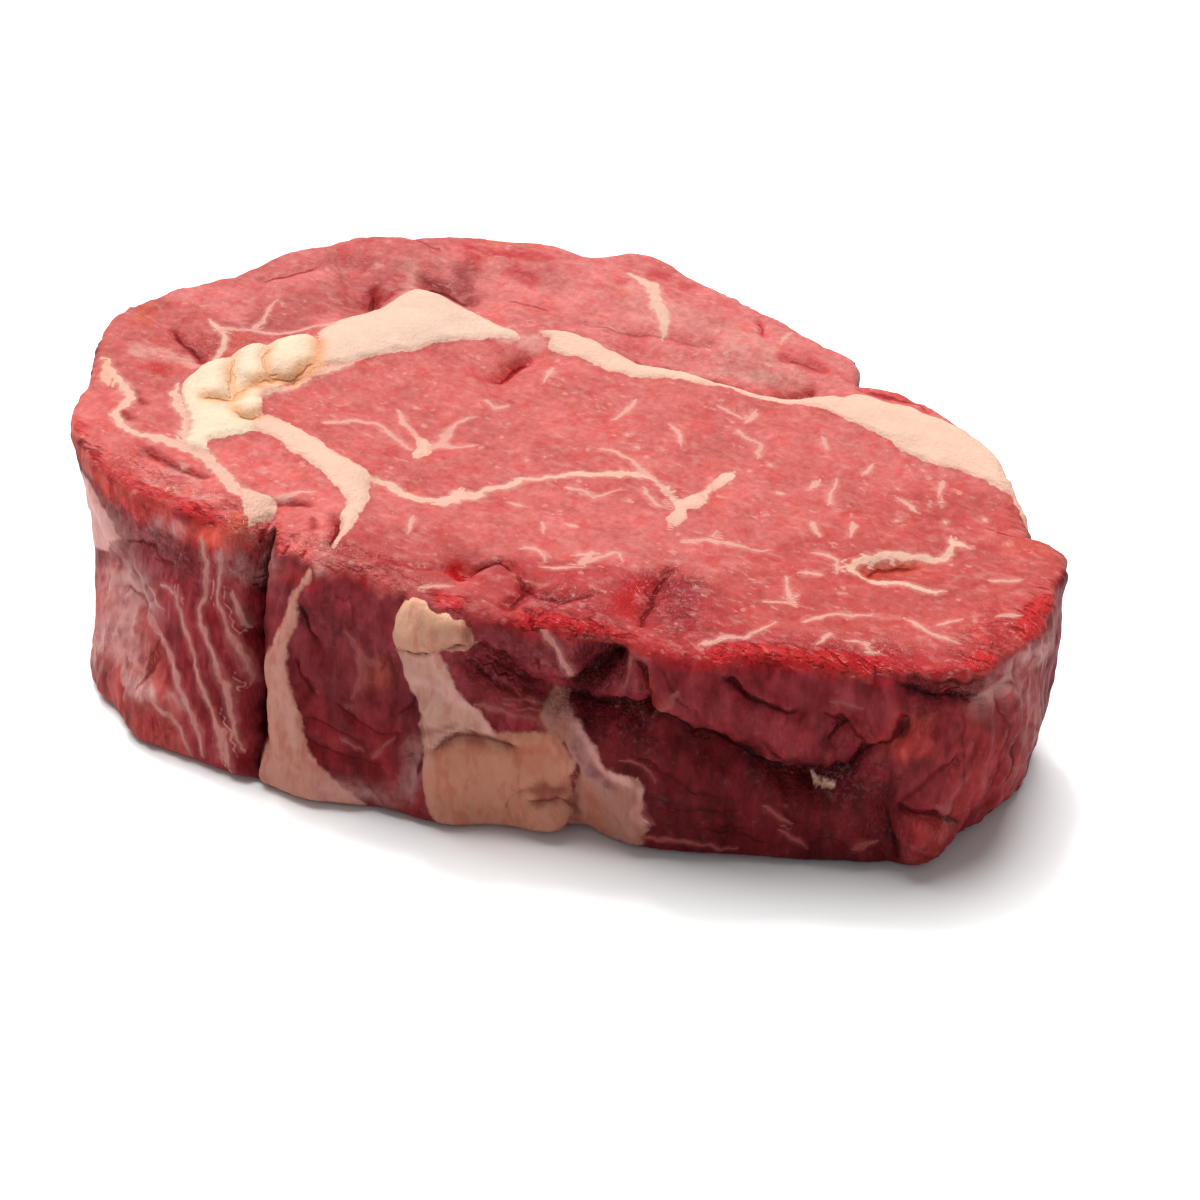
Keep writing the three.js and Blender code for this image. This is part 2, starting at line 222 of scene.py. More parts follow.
wallCuts = [
    ([(91, 44), (91.2, 34), (91.6, 26), (92.8, 16), (94, 8), (94.6, 2)], 1.1, -2.6),
    (folds["lumpBrow"], 1, -1.2),
    ([(130, 39), (132.5, 38)], 0.9, -1.2),
    (folds["lumpDent"], 0.9, -1),
    ([(121, 33.9), (125, 35.6), (128.5, 37.8), (131.1, 39.2)], 0.9, -0.9),
    ([(124, 9), (125.5, 15), (124.5, 22)], 1, -0.9),
    ([(134, 35), (140, 31), (144, 30)], 0.9, -0.9),
    ([(135, 38), (141, 34)], 0.8, -0.7),
    ([(144, 38), (143.5, 35), (146, 30.5)], 0.9, -0.8),
    ([(158, 40), (155, 37), (152.6, 33), (149.5, 30)], 1.8, -2.6),
    ([(161, 40), (163.5, 36), (163, 33)], 0.9, -1),
    ([(148, 26.8), (153, 27.6), (162, 31), (167, 29.5), (173, 26.5), (179, 23.5), (186, 19),
      (190, 17.5)], 1.1, -1.6),
    ([(176, 38.5), (180.3, 35.6), (183.9, 34.2), (188, 34)], 0.9, -1),
    ([(193.5, 27), (194.5, 29.5), (197, 31)], 0.9, -1),
    ([(197, 30), (199, 26), (197.6, 23.5)], 0.8, -0.8),
    (folds["rightRimFold"], 0.9, -1),
    ([(207, 41), (213, 40), (219, 38.5)], 0.8, -0.7),
    (folds["rightFootFold"], 1, -1.2),
    ([(132.8, 38.6), (138.6, 33.9), (145, 27.7)], 0.9, -0.8),
    ([(131, 34), (137, 30.5), (142, 26.5)], 0.9, -0.7),
    ([(162.8, 38.5), (163.3, 34.3), (162, 31.2)], 0.9, -1.3),
    ([(215.4, 27.2), (210.7, 23), (205.5, 15.7)], 0.9, -0.6),
    ([(226, 30), (225.6, 22.5), (226, 12)], 0.9, -0.8),
    ([(101.6, 36.5), (103, 33), (104.8, 31)], 0.9, -1),
    ([(101.5, 27), (103, 24), (105, 21)], 0.9, -0.8),
    ([(103, 17), (108, 16.5), (114, 15)], 0.8, -0.5),
    ([(104, 13), (110, 11.5), (118, 10)], 0.8, -0.5),
    ([(108, 22), (114, 19), (119, 17)], 0.8, -0.5),
    ([(178, 37), (180, 35)], 0.8, -0.7),
    ([(192, 33), (196, 31)], 0.8, -0.7),
    ([(184, 25), (186, 22)], 0.8, -0.7),
    (folds["flapFold"], 1, -1.2),
    ([(172, 7), (178, 7.5), (184, 4)], 0.9, -0.6),
    ([(186, 12), (189, 9)], 0.9, -0.6),
    ([(160, 20), (168, 18), (176, 15)], 1, -0.5),
    ([(164, 11), (171, 12), (180, 12)], 1, -0.5),
    ([(165, 41), (168, 36), (171, 33)], 1, -0.6),
    ([(203, 14), (205, 8), (206, 2)], 1, -1),
    ([(214, 36), (216, 26), (215, 16)], 0.9, -0.5),
    ([(221, 37), (223, 24), (222, 10)], 0.9, -0.5),
    ([(61, 33), (68, 36), (75, 34)], 1.1, -0.7),
    ([(60, 22), (66, 23), (72, 22)], 1.2, -0.6),
    (folds["fatCapCrease"], 1.1, -1),
    (folds["notchCrease"], 1.2, -1.6),
    ([(340, 40), (344, 24), (338, 10)], 1, -0.6),
    (folds["backCrease"], 1.1, -1.1),
    ([(372, 40), (370, 28)], 1, -0.8),
    (folds["leftEndCrease"], 1.1, -1.2),
    ([(456, 36), (458, 18)], 1, -0.6),
    ([(14, 40), (12, 24), (16, 8)], 1.1, -0.6),
    ([(40, 38), (44, 24), (40, 10)], 1.1, -0.6),
]


def smooth(value, low, high):
    share = np.clip((value - low) / (high - low), 0, 1)
    return share * share * (3 - 2 * share)


def around(keys, degrees):  # eased between the keys on either side
    result = np.zeros_like(degrees)
    for (low, first), (high, second) in zip(keys, keys[1:] + [(keys[0][0] + 360, keys[0][1])]):
        inside = (degrees >= low) & (degrees < high)
        result = np.where(inside, first + (second - first) * smooth(degrees, low, high), result)
    return result


def nearest(u, v, path):  # distance to a path, how far along it that is from 0 to 1, and on which side
    points = np.array(path, float)
    place, side = np.zeros_like(u), np.ones_like(u)
    if len(points) == 1:
        return np.hypot(u - points[0, 0], v - points[0, 1]), place + 0.5, side
    lengths = np.hypot(*(points[1:] - points[:-1]).T)
    best = np.full(u.shape, 1e9)
    for k, length in enumerate(lengths):
        du, dv = points[k + 1] - points[k]
        uk, vk = u - points[k, 0], v - points[k, 1]
        along = np.clip((uk * du + vk * dv) / length**2, 0, 1)
        distance = np.hypot(uk - along * du, vk - along * dv)
        closer = distance < best
        best = np.where(closer, distance, best)
        place = np.where(closer, (lengths[:k].sum() + along * length) / lengths.sum(), place)
        side = np.where(closer, np.where(uk * dv > vk * du, 1.0, -1.0), side)
    return best, place, side


def lift(forms, u, v):
    total = np.zeros_like(u)
    for path, width, height in forms:
        total += height * np.exp(-((nearest(u, v, path)[0] / width) ** 2))
    return total


def ripple(u, v):
    return np.sin(u * 0.21 + 1.3 * np.sin(v * 0.17)) * np.cos(v * 0.24 + 1.1 * np.sin(u * 0.13))


noiseCells = 64
noiseTable = np.random.default_rng(slab["seed"]).uniform(-1, 1, (3, noiseCells, noiseCells))


def roughness2d(u, v, size, layer=0):  # soft noise from -1 to 1 with features about this size
    a, b = u / size + 31.7, v / size + 17.3
    i, j = np.floor(a).astype(int), np.floor(b).astype(int)
    s, t = a - i, b - j
    s, t = s * s * (3 - 2 * s), t * t * (3 - 2 * t)
    table, n = noiseTable[layer], noiseCells
    low = table[i % n, j % n] * (1 - s) + table[(i + 1) % n, j % n] * s
    high = table[i % n, (j + 1) % n] * (1 - s) + table[(i + 1) % n, (j + 1) % n] * s
    return low * (1 - t) + high * t


def wander(u, v):
    du = slab["warp"] * roughness2d(u, v, 5, 0) + slab["fineWarp"] * roughness2d(u, v, 1.7, 1)
    dv = slab["warp"] * roughness2d(u, v, 5, 2) + slab["fineWarp"] * roughness2d(v, u, 1.7, 1)
    return u + du, v + dv


def thickness(x):
    return slab["thickness"] + slab["taper"] * x


def topHeight(x, y):
    wavy = slab["topRipple"] * ripple(x, y)
    return thickness(x) + lift(topForms, x, y) + lift(topCuts, *wander(x, y)) + wavy


def makeRim(columns):  # centripetal curve through the plan, cut into even steps
    points = np.array(rimPlan, float)
    dense = []
    for k in range(len(points)):
        p0, p1, p2, p3 = (points[(k + n) % len(points)] for n in (-1, 0, 1, 2))
        d0, d1, d2 = (np.hypot(*(b - a)) ** 0.5 for a, b in ((p0, p1), (p1, p2), (p2, p3)))
        t1 = ((p1 - p0) / d0 - (p2 - p0) / (d0 + d1) + (p2 - p1) / d1) * d1
        t2 = ((p2 - p1) / d1 - (p3 - p1) / (d1 + d2) + (p3 - p2) / d2) * d1
        t = np.linspace(0, 1, slab["curveSteps"], endpoint=False)[:, None]
        a = 2 * p1 - 2 * p2 + t1 + t2
        b = -3 * p1 + 3 * p2 - 2 * t1 - t2
        dense.append(a * t**3 + b * t**2 + t1 * t + p1)
    dense = np.vstack(dense + [points[:1]])
    travelled = np.r_[0, np.cumsum(np.hypot(*(dense[1:] - dense[:-1]).T))]
    run = np.arange(columns) * travelled[-1] / columns
    rim = np.c_[np.interp(run, travelled, dense[:, 0]), np.interp(run, travelled, dense[:, 1])]
    along = np.roll(rim, -4, 0) - np.roll(rim, 4, 0)
    along /= np.hypot(*along.T)[:, None]
    return rim, np.c_[along[:, 1], -along[:, 0]], slab["runStart"] + run


rim, outward, rimRun = makeRim(slab["columns"])
rimDegrees = np.degrees(np.arctan2(rim[:, 1], rim[:, 0])) % 360
rimFlare, rimSwell = around(footFlare, rimDegrees), around(wallSwell, rimDegrees)


def makeLooseCreases(count):  # short folds of the wall, slanting the way its fibres do
    draw = np.random.default_rng(slab["seed"] + 1)
    creases = []
    for _ in range(count):
        run, z, length = draw.uniform(0, slab["rimLength"]), draw.uniform(5, 39), draw.uniform(3, 9)
        slope = draw.normal(-0.5 if 150 < run < 212 else 2.2, 0.5)
        step = length / math.hypot(1, slope) / 2
        bend = draw.uniform(-1.6, 1.6)
        path = [(run - step, z - slope * step), (run, z + bend), (run + step, z + slope * step)]
        creases.append((path, draw.uniform(0.7, 1), draw.uniform(-0.6, -0.25)))
    return creases


wallCuts += makeLooseCreases(slab["looseCreases"])


def wallPoints(share, inset):  # rows down the wall, each from the foot (0) to the rim (1)
    share, inset = share[:, None], inset[:, None]
    run = np.broadcast_to(rimRun, (len(share), len(rimRun)))
    z = share * thickness(rim[:, 0])
    cuts = lift(wallCuts, *wander(run, z)) * smooth(z, 0, 4)
    out = rimFlare * (1 - share) + rimSwell * np.sin(np.pi * share) - inset
    out = out + lift(wallForms, run, z) + cuts + slab["ripple"] * ripple(run, z)
    torn = smooth(roughness2d(run, z * 0.2, 2.6, 1) + 0.5 * roughness2d(run, z * 0.3, 1.2, 2), -0.1, 0.7)
    torn = torn * (0.3 + 0.7 * np.interp(rimRun, *np.array(rimKeys).T))
    out = out - slab["tear"] * torn * np.exp(-(((thickness(rim[:, 0]) - z) / 4.5) ** 2))
    x, y = (rim[:, axis] + outward[:, axis] * out for axis in (0, 1))
    height = z + smooth(share, 0.6, 1) * (topHeight(x, y) - thickness(x))
    return np.stack([x, y, height], 2), run, z


def squareRings(half):  # ring, and share of the way round it, for each corner of a square grid
    i, j = np.meshgrid(np.arange(-half, half + 1), np.arange(-half, half + 1), indexing="ij")
    ring = np.maximum(abs(i), abs(j))
    place = np.where(i == -ring, np.where(j <= 0, -j, 8 * ring - j), 6 * ring - i)
    place = np.where(i == ring, 4 * ring + j, place)
    place = np.where(j == -ring, 2 * ring + i, place)
    return ring, (place / np.maximum(8 * ring, 1)) % 1


def disc(edge, half):  # a grid that fills the closed line of points and eases its notches out
    ring, place = squareRings(half)
    reach = len(edge) // slab["easing"]
    eased = sum(np.roll(edge, step, 0) for step in range(-reach, reach + 1)) / (2 * reach + 1)
    column = place * len(edge)
    low = np.floor(column).astype(int) % len(edge)
    share = (column - np.floor(column))[..., None]
    nearEdge = smooth(ring / half, 0.8, 1)[..., None]
    high = (low + 1) % len(edge)
    onEdge, onEased = (line[low] * (1 - share) + line[high] * share for line in (edge, eased))
    inner = (onEdge * nearEdge + onEased * (1 - nearEdge)) * (ring / half)[..., None]
    edgeColumn = np.where(ring == half, np.round(column).astype(int) % len(edge), -1)
    return inner, edgeColumn


columns = slab["columns"]
topShare = 1 - slab["rimRound"] / slab["thickness"]
footShare = slab["footRound"] / slab["thickness"]
turn = np.linspace(0, np.pi / 2, slab["rimRows"] + 1)
down = np.linspace(topShare, footShare, slab["wallRows"] + 1)[1:]
under = np.linspace(0, np.pi / 2, slab["footRows"] + 1)[1:]
rowShare = np.r_[topShare + (1 - topShare) * np.cos(turn), down, footShare * (1 - np.sin(under))]
rowInset = np.r_[
    slab["rimRound"] * (1 - np.sin(turn)), np.zeros(len(down)), slab["footRound"] * (1 - np.cos(under))
]
wallGrid, wallRun, wallHigh = wallPoints(rowShare, rowInset)
wallRows = len(rowShare)

topPlan, topEdge = disc(wallGrid[0, :, :2], columns // 8)
topGrid = np.dstack([topPlan, topHeight(topPlan[..., 0], topPlan[..., 1])])
footPlan, footEdge = disc(wallGrid[-1, ::2, :2] * slab["footScale"], columns // 16)
footGrid = np.dstack([footPlan, np.zeros(footPlan.shape[:2])])

# One list of points: the wall's rows first, then what is left of the two grids
wallIndex = np.arange(wallRows * columns).reshape(wallRows, columns)
topIndex = np.where(topEdge >= 0, topEdge, -1)
topIndex[topEdge < 0] = wallIndex.size + np.arange((topEdge < 0).sum())
footStart = wallIndex.size + (topEdge < 0).sum()
footIndex = footStart + np.arange(footEdge.size).reshape(footEdge.shape)
steakPoints = np.vstack([wallGrid.reshape(-1, 3), topGrid[topEdge < 0], footGrid.reshape(-1, 3)])


def quads(index):
    return np.stack([index[:-1, :-1], index[1:, :-1], index[1:, 1:], index[:-1, 1:]], 2).reshape(-1, 4)


wrapped = np.c_[wallIndex, wallIndex[:, 0]]
outer = wallIndex[-1].reshape(-1, 2)
heel = np.zeros(len(outer), int)
heel[footEdge[footEdge >= 0]] = footIndex[footEdge >= 0]
outerNext, heelNext = np.roll(outer[:, 0], -1), np.roll(heel, -1)
steakQuads = np.vstack([quads(topIndex), quads(wrapped), quads(footIndex)[:, ::-1]])
steakTriangles = np.vstack([  # two columns of the wall meet one of the foot
    np.c_[outer[:, 0], heel, outer[:, 1]],
    np.c_[outer[:, 1], heel, heelNext],
    np.c_[outer[:, 1], heelNext, outerNext],
])
print("steak grid", len(steakPoints), "points")

# Colours as they look under the studio light, red, green, blue out of 255, or a little more where
# fat is brighter than a white card in the shade
tones = {
    "eye": (218, 108, 102), "eyeRight": (206, 90, 84), "eyeFront": (192, 72, 71),
    # the tone of the hollows beside the kernel of fat is painted shade
    "eyeLow": (204, 92, 88), "cap": (226, 123, 118), "capEdge": (204, 86, 84), "hollowShade": (172, 70, 68),
    # the deep red is partly the darker meat inside gashes and partly painted shade along the creases and
    # folds
    "deep": (158, 12, 18), "bright": (204, 30, 36), "wetDark": (170, 56, 62), "pit": (206, 16, 22),
    "orange": (232, 112, 84), "sideMuscle": (212, 104, 98), "strip": (222, 112, 106),
    "wedge": (232, 116, 110), "corner": (230, 112, 106), "pink": (238, 168, 155),
    "notch": (208, 82, 56), "endRed": (212, 62, 60), "endOrange": (208, 82, 66),
    "kernelFat": (251, 211, 188), "lumpFat": (260, 232, 202), "seamFat": (252, 206, 182),
    "netFat": (247, 196, 174), "veinFat": (240, 172, 158), "rimFat": (248, 190, 158),
    "lumpShade": (262, 184, 128),
}
# The wall stands in half light, so these are the colours seen there
wallTones = {
    "muscle": (122, 36, 42), "purple": (118, 38, 44), "inner": (136, 58, 62), "striped": (138, 40, 46),
    "foot": (116, 26, 32), "redSide": (160, 64, 60), "brightRim": (176, 30, 34),
    # the near black red of the slits is painted shade in the slits and creases of the wall
    "lipRed": (196, 48, 46), "slitShade": (60, 10, 14), "brown": (148, 64, 52), "low": (94, 16, 22),
    "end": (134, 40, 43), "endLow": (138, 40, 42), "lump": (146, 42, 42), "flap": (162, 56, 52),
    "rough": (88, 12, 18), "capSide": (132, 44, 46), "orangeRim": (214, 96, 78),
    "bandFat": (184, 126, 110), "lumpTop": (186, 134, 112), "lumpFoot": (178, 118, 96),
    "neck": (184, 138, 122), "greyLobe": (158, 106, 92), "thread": (192, 128, 120),
    "smear": (142, 70, 68), "backFat": (200, 152, 130), "lining": (206, 156, 150),
    # the fat's darkest tone here is painted shade under and between the wall's lumps of fat, the pale one
    # after it a painted highlight on the top of the proud lump
    "whiteSide": (214, 158, 150), "crumb": (232, 188, 164), "fatShadow": (138, 84, 70),
    "fatLitTop": (212, 164, 134), "fatOrange": (170, 96, 72), "fatBrown": (126, 62, 48),
    "fatPink": (206, 150, 142), "fatPurple": (112, 56, 62),
}

# Muscles of the cut face: outline, tone
topMuscles = [
    ([(-110, 3), (-68, 0), (-56, 6), (-54, 8), (-51, 15), (-47, 25), (-38, 27), (-27, 24), (-20, 27),
      (-10, 28), (2, 29), (10, 30), (19, 30), (25, 33), (30, 35), (36, 38), (45, 40), (55, 39.5),
      (64, 43), (64, 75), (-110, 75)], "cap"),
    ([(-110, 2), (-68, -2), (-60, -6), (-67, -14), (-69, -22), (-66, -28), (-75, -29), (-82, -28),
      (-110, -24)], "sideMuscle"),
    ([(-82, -29), (-66, -28), (-58, -36), (-60, -39), (-70, -38), (-75, -33)], "strip"),
    ([(-56, -37), (-50, -29), (-40, -31), (-30, -33), (-25, -38), (-20, -50), (-18, -64), (-38, -64),
      (-38, -52), (-36, -43), (-48, -41)], "wedge"),
    ([(-96, -32), (-75, -32), (-70, -39), (-60, -39.5), (-48, -42), (-44, -46), (-38, -50), (-38, -64),
      (-90, -64)], "corner"),
    ([(34, -64), (38, -30), (44, -8), (50, 8), (58, 22), (120, 22), (120, -64)], "eyeRight"),
    ([(-20, -41), (-8, -35), (4, -36), (14, -33), (12, -46), (8, -70), (-20, -70)], "eyeLow"),
    ([(6, -37), (16, -31), (28, -26), (42, -25), (50, -31), (66, -27), (80, -20), (110, -26), (60, -70),
      (4, -70)], "eyeFront"),
]
# Patches and streaks of the cut face, with painted shade in its hollows and along its creases: path,
# width, strength, tone
topStains = [
    ([(-67, 5), (-60, 16), (-56, 28)], 6, 0.6, "hollowShade"),
    ([(-80, 16), (-70, 30), (-55, 42), (-36, 49)], 5, 0.45, "capEdge"),
    ([(-58, 24), (-55, 20), (-53, 23), (-51, 26)], 1.6, 0.8, "deep"),
    ([(-55, 33), (-52, 29), (-50, 24)], 1.6, 0.55, "pink"),
    ([(-50, 31), (-45, 32), (-41, 31.5), (-46, 37)], 2, 0.75, "hollowShade"),
    ([(-45, 42)], 2.4, 0.7, "bright"),
    ([(-37, 41), (-33, 42)], 1.8, 0.6, "bright"),
    ([(-48, 44), (-40, 46), (-34, 48.5)], 1.8, 0.55, "bright"),
    ([(-46, 49), (-38, 52)], 2.2, 0.5, "orange"),
    ([(-13, 54.5)], 3, 0.6, "bright"),
    ([(-7, 53)], 2.5, 0.5, "bright"),
    ([(-18, 47.5)], 1.6, 0.5, "bright"),
    (folds["capNick"], 1.2, 0.6, "bright"),
    ([(-12, 44), (6, 42), (20, 40)], 4, 0.35, "pink"),
    (folds["capFold"], 1.6, 0.6, "bright"),
    (folds["farFold"], 1.5, 0.7, "endRed"),
    (folds["capGroove"], 1.3, 0.8, "deep"),
    ([(17, 31), (27, 36)], 2.2, 0.5, "endOrange"),
    ([(12, 34.5), (17, 35), (20, 36), (25, 38)], 1.6, 0.7, "pink"),
    ([(-25, 15), (-22.5, 14)], 1.4, 0.4, "endOrange"),
    (folds["kernelGash"], 1.1, 0.85, "bright"),
    (folds["leftFold"], 0.9, 0.85, "deep"),
    ([(-76, -19.5)], 3, 0.6, "bright"),
    ([(-67, -4)], 3, 0.6, "notch"),
    ([(-67.5, -10.5)], 1.6, 0.6, "notch"),
    ([(-82, -16), (-78, -15), (-74, -14.8), (-71, -15.5)], 2, 0.6, "pink"),
    ([(-90, -3), (-88, -6)], 2, 0.6, "orange"),
    ([(-75, -28.5), (-72, -30)], 0.8, 0.8, "deep"),
    ([(-72.5, -34.5), (-70.5, -36)], 0.8, 0.8, "deep"),
    ([(-64, -27.5)], 1.2, 0.8, "bright"),
    (folds["leftCornerFold"], 0.9, 0.7, "deep"),
    ([(-57, -43.8), (-50, -44.8)], 0.9, 0.6, "pink"),
    ([(-48, -48), (-45, -47)], 1, 0.6, "pink"),
    ([(-58, -47), (-52, -49)], 0.9, 0.5, "pink"),
    ([(-70, -48), (-60, -51), (-48, -53), (-38, -54)], 2.6, 0.75, "bright"),
    ([(-38, -50), (-38, -55)], 2, 0.6, "orange"),
    ([(-32, -50), (-30, -56), (-22, -56)], 2, 0.6, "deep"),
    (folds["seamGash"], 1.3, 0.9, "deep"),
    ([(-22, -49), (-20, -52), (-18, -56)], 1.6, 0.5, "pink"),
    ([(-43, -36), (-42, -37.5)], 0.7, 0.6, "pink"),
    (folds["wedgeFold"], 0.8, 0.7, "deep"),
    ([(-27, -44), (-26, -46)], 0.8, 0.7, "deep"),
    ([(0.4, -41.6), (3, -41.9)], 1.5, 1, "pit"),
    ([(3, -40), (6, -37)], 0.8, 0.8, "deep"),
    (folds["shallowFold"], 1, 0.4, "bright"),
    ([(-3, -39)], 2, 0.4, "endOrange"),
    (folds["rimGash"], 1.4, 0.7, "deep"),
    (folds["rimNotch"], 1.7, 0.75, "bright"),
    ([(24, -46), (28, -50)], 2, 0.7, "deep"),
    (folds["eyeGash"], 0.9, 0.8, "deep"),
    ([(29.6, -30), (31, -38)], 2.2, 0.8, "bright"),
    # darker red beside the eye's gash where the cut face is wet, partly painted shade of the gash
    ([(36, -29), (38.5, -35)], 4.4, 0.75, "wetDark"),
    ([(48, -40), (52, -44)], 2.6, 0.6, "bright"),
    ([(35, -44), (47, -44)], 1.8, 0.6, "bright"),
    ([(60, -36), (66, -33), (74, -28), (82, -25), (88, -25)], 2, 0.7, "bright"),
    ([(87, -9), (88, -20)], 5, 0.6, "endRed"),
    ([(87, -13), (88, -18)], 1.6, 0.6, "deep"),
    ([(80, 12), (85, 15)], 4, 0.6, "endOrange"),
    ([(22, -3)], 1.4, 0.7, "endOrange"),
    ([(29, -2), (29, -4)], 1.4, 0.7, "endOrange"),
    (folds["hookFold"], 1.5, 0.8, "notch"),
    ([(66, -4), (63, -7)], 1.4, 0.6, "notch"),
    ([(-27, 23), (-22, 23)], 2.4, 0.7, "pink"),
]

# Fat of the cut face: outline, tone, height by which it stands proud
topFat = [
    ([(-56, 3.1), (-55, 11.1), (-52.9, 16.3), (-49.8, 22.2), (-47.7, 25.2), (-43.3, 27), (-37.2, 25.6),
      (-31, 24.3), (-26, 24.2), (-24, 23), (-27.5, 21), (-32.7, 16.6), (-36.7, 11.7), (-41, 6.7),
      (-44.5, 2), (-46, -1.7), (-49.5, -4.6), (-51, -8), (-53.2, -13), (-54.3, -18.3), (-55.2, -17),
      (-52.6, -10.5), (-51.3, -4.8), (-54, 0.4)], "kernelFat", 0.6),
    ([(-56.4, 1.6), (-54, 0.2), (-51.1, -4.8), (-50.6, -8.4), (-52.4, -11.4), (-53.7, -14),
      (-55.4, -17.5), (-53.4, -19), (-50.8, -23.9), (-49.3, -26.8), (-50.5, -29.9), (-52.5, -32.3),
      (-54.6, -34.6), (-54.9, -38.5), (-58, -36.6), (-59.3, -33.6), (-63.4, -28.3), (-66.1, -26),
      (-67.7, -23.1), (-68.5, -19.7), (-67.8, -15.3), (-65.8, -11.6), (-64.6, -7.7), (-61.6, -5.3),
      (-59.4, -0.8), (-57.8, 1.5)], "lumpFat", 0.7),
    ([(20.8, -5.4), (23.7, -6.2), (24.8, -5.2), (25.7, -3.1), (27.4, -2.9), (28.9, -4.6), (28.6, -6.8),
      (27.1, -8.1), (25.3, -8.8), (23.7, -8.4)], "netFat", 0.2),
    ([(24.4, -8), (26.8, -8), (27.4, -10.6), (26.8, -13.2), (26.3, -16.6), (25.2, -14.6), (24.3, -12)],
      "netFat", 0.2),
    ([(27, -0.9), (26.4, 2.2), (26.4, 4.4), (27.9, 6), (29, 4.6), (28.9, 1.6), (28.6, -1.2)], "netFat",
      0.15),
    ([(-24.8, -14.2), (-23, -13.3), (-20.8, -15), (-20.4, -16.9), (-20.8, -20.4), (-22.6, -19.9),
      (-23.2, -17.1)], "netFat", 0.15),
    ([(-51.2, -23.4), (-46.6, -22.1), (-39.3, -24.3), (-32.2, -27.1), (-26.5, -28.2), (-24.3, -29.9),
      (-23.5, -33), (-21.3, -36.5), (-19.6, -41.4), (-19, -45.6), (-19.2, -50), (-20.5, -48),
      (-21.1, -44.5), (-22.9, -40.8), (-25.9, -36.6), (-29.5, -33.9), (-35.3, -31.2), (-40.8, -29.6),
      (-48, -27.6), (-52, -28.4)], "seamFat", 0.25),
    ([(-22, 26), (-20, 27.3), (-16, 28), (-10, 28), (-4, 27.5), (-1, 27.5), (2, 28.5), (6, 29),
      (10, 29.8), (15, 29.5), (19, 29.5), (22, 31), (25, 33), (28, 34.7), (31, 34.8), (35, 35),
      (36.5, 37.5), (39, 39), (45, 39.1), (49, 38.5), (52, 38), (55, 38.5), (58, 39), (61, 38.5),
      (66, 36), (69, 33), (73, 30), (76, 27), (79, 23), (74, 23.5), (70, 24), (66, 24.8), (61, 25.5),
      (56, 26), (50, 27), (45, 28), (40, 28.7), (36, 29.7), (33, 30.5), (28, 30.5), (24, 28.5),
      (20, 27), (13, 27), (8, 26), (4, 24.5), (0, 22.5), (-5, 21.5), (-10, 22.5), (-15, 21.5),
      (-19, 22), (-19.5, 24)], "seamFat", 0.4),
    ([(-43.5, -42.2), (-41.2, -41.6), (-37.2, -41.2), (-34.8, -42.4), (-34.5, -45), (-35.7, -48),
      (-36.1, -50.5), (-38.9, -47.4), (-41.5, -44.8)], "netFat", 0.3),
]
# Painted orange shade where the lumps of fat meet, as light turns orange inside fat: path, width, strength
lumpShades = [
    (folds["lumpSeamRight"], 1.5, 1),
    (folds["lumpSeamLow"], 1.5, 0.9),
    (folds["lumpSeamFront"], 1.3, 0.8),
    (folds["lumpSeamUpper"], 1.3, 0.8),
    (folds["lumpSeamLeft"], 1.3, 0.8),
    ([(-54, 0.2), (-51.3, -4.8), (-51.2, -9)], 1.5, 0.9),
]
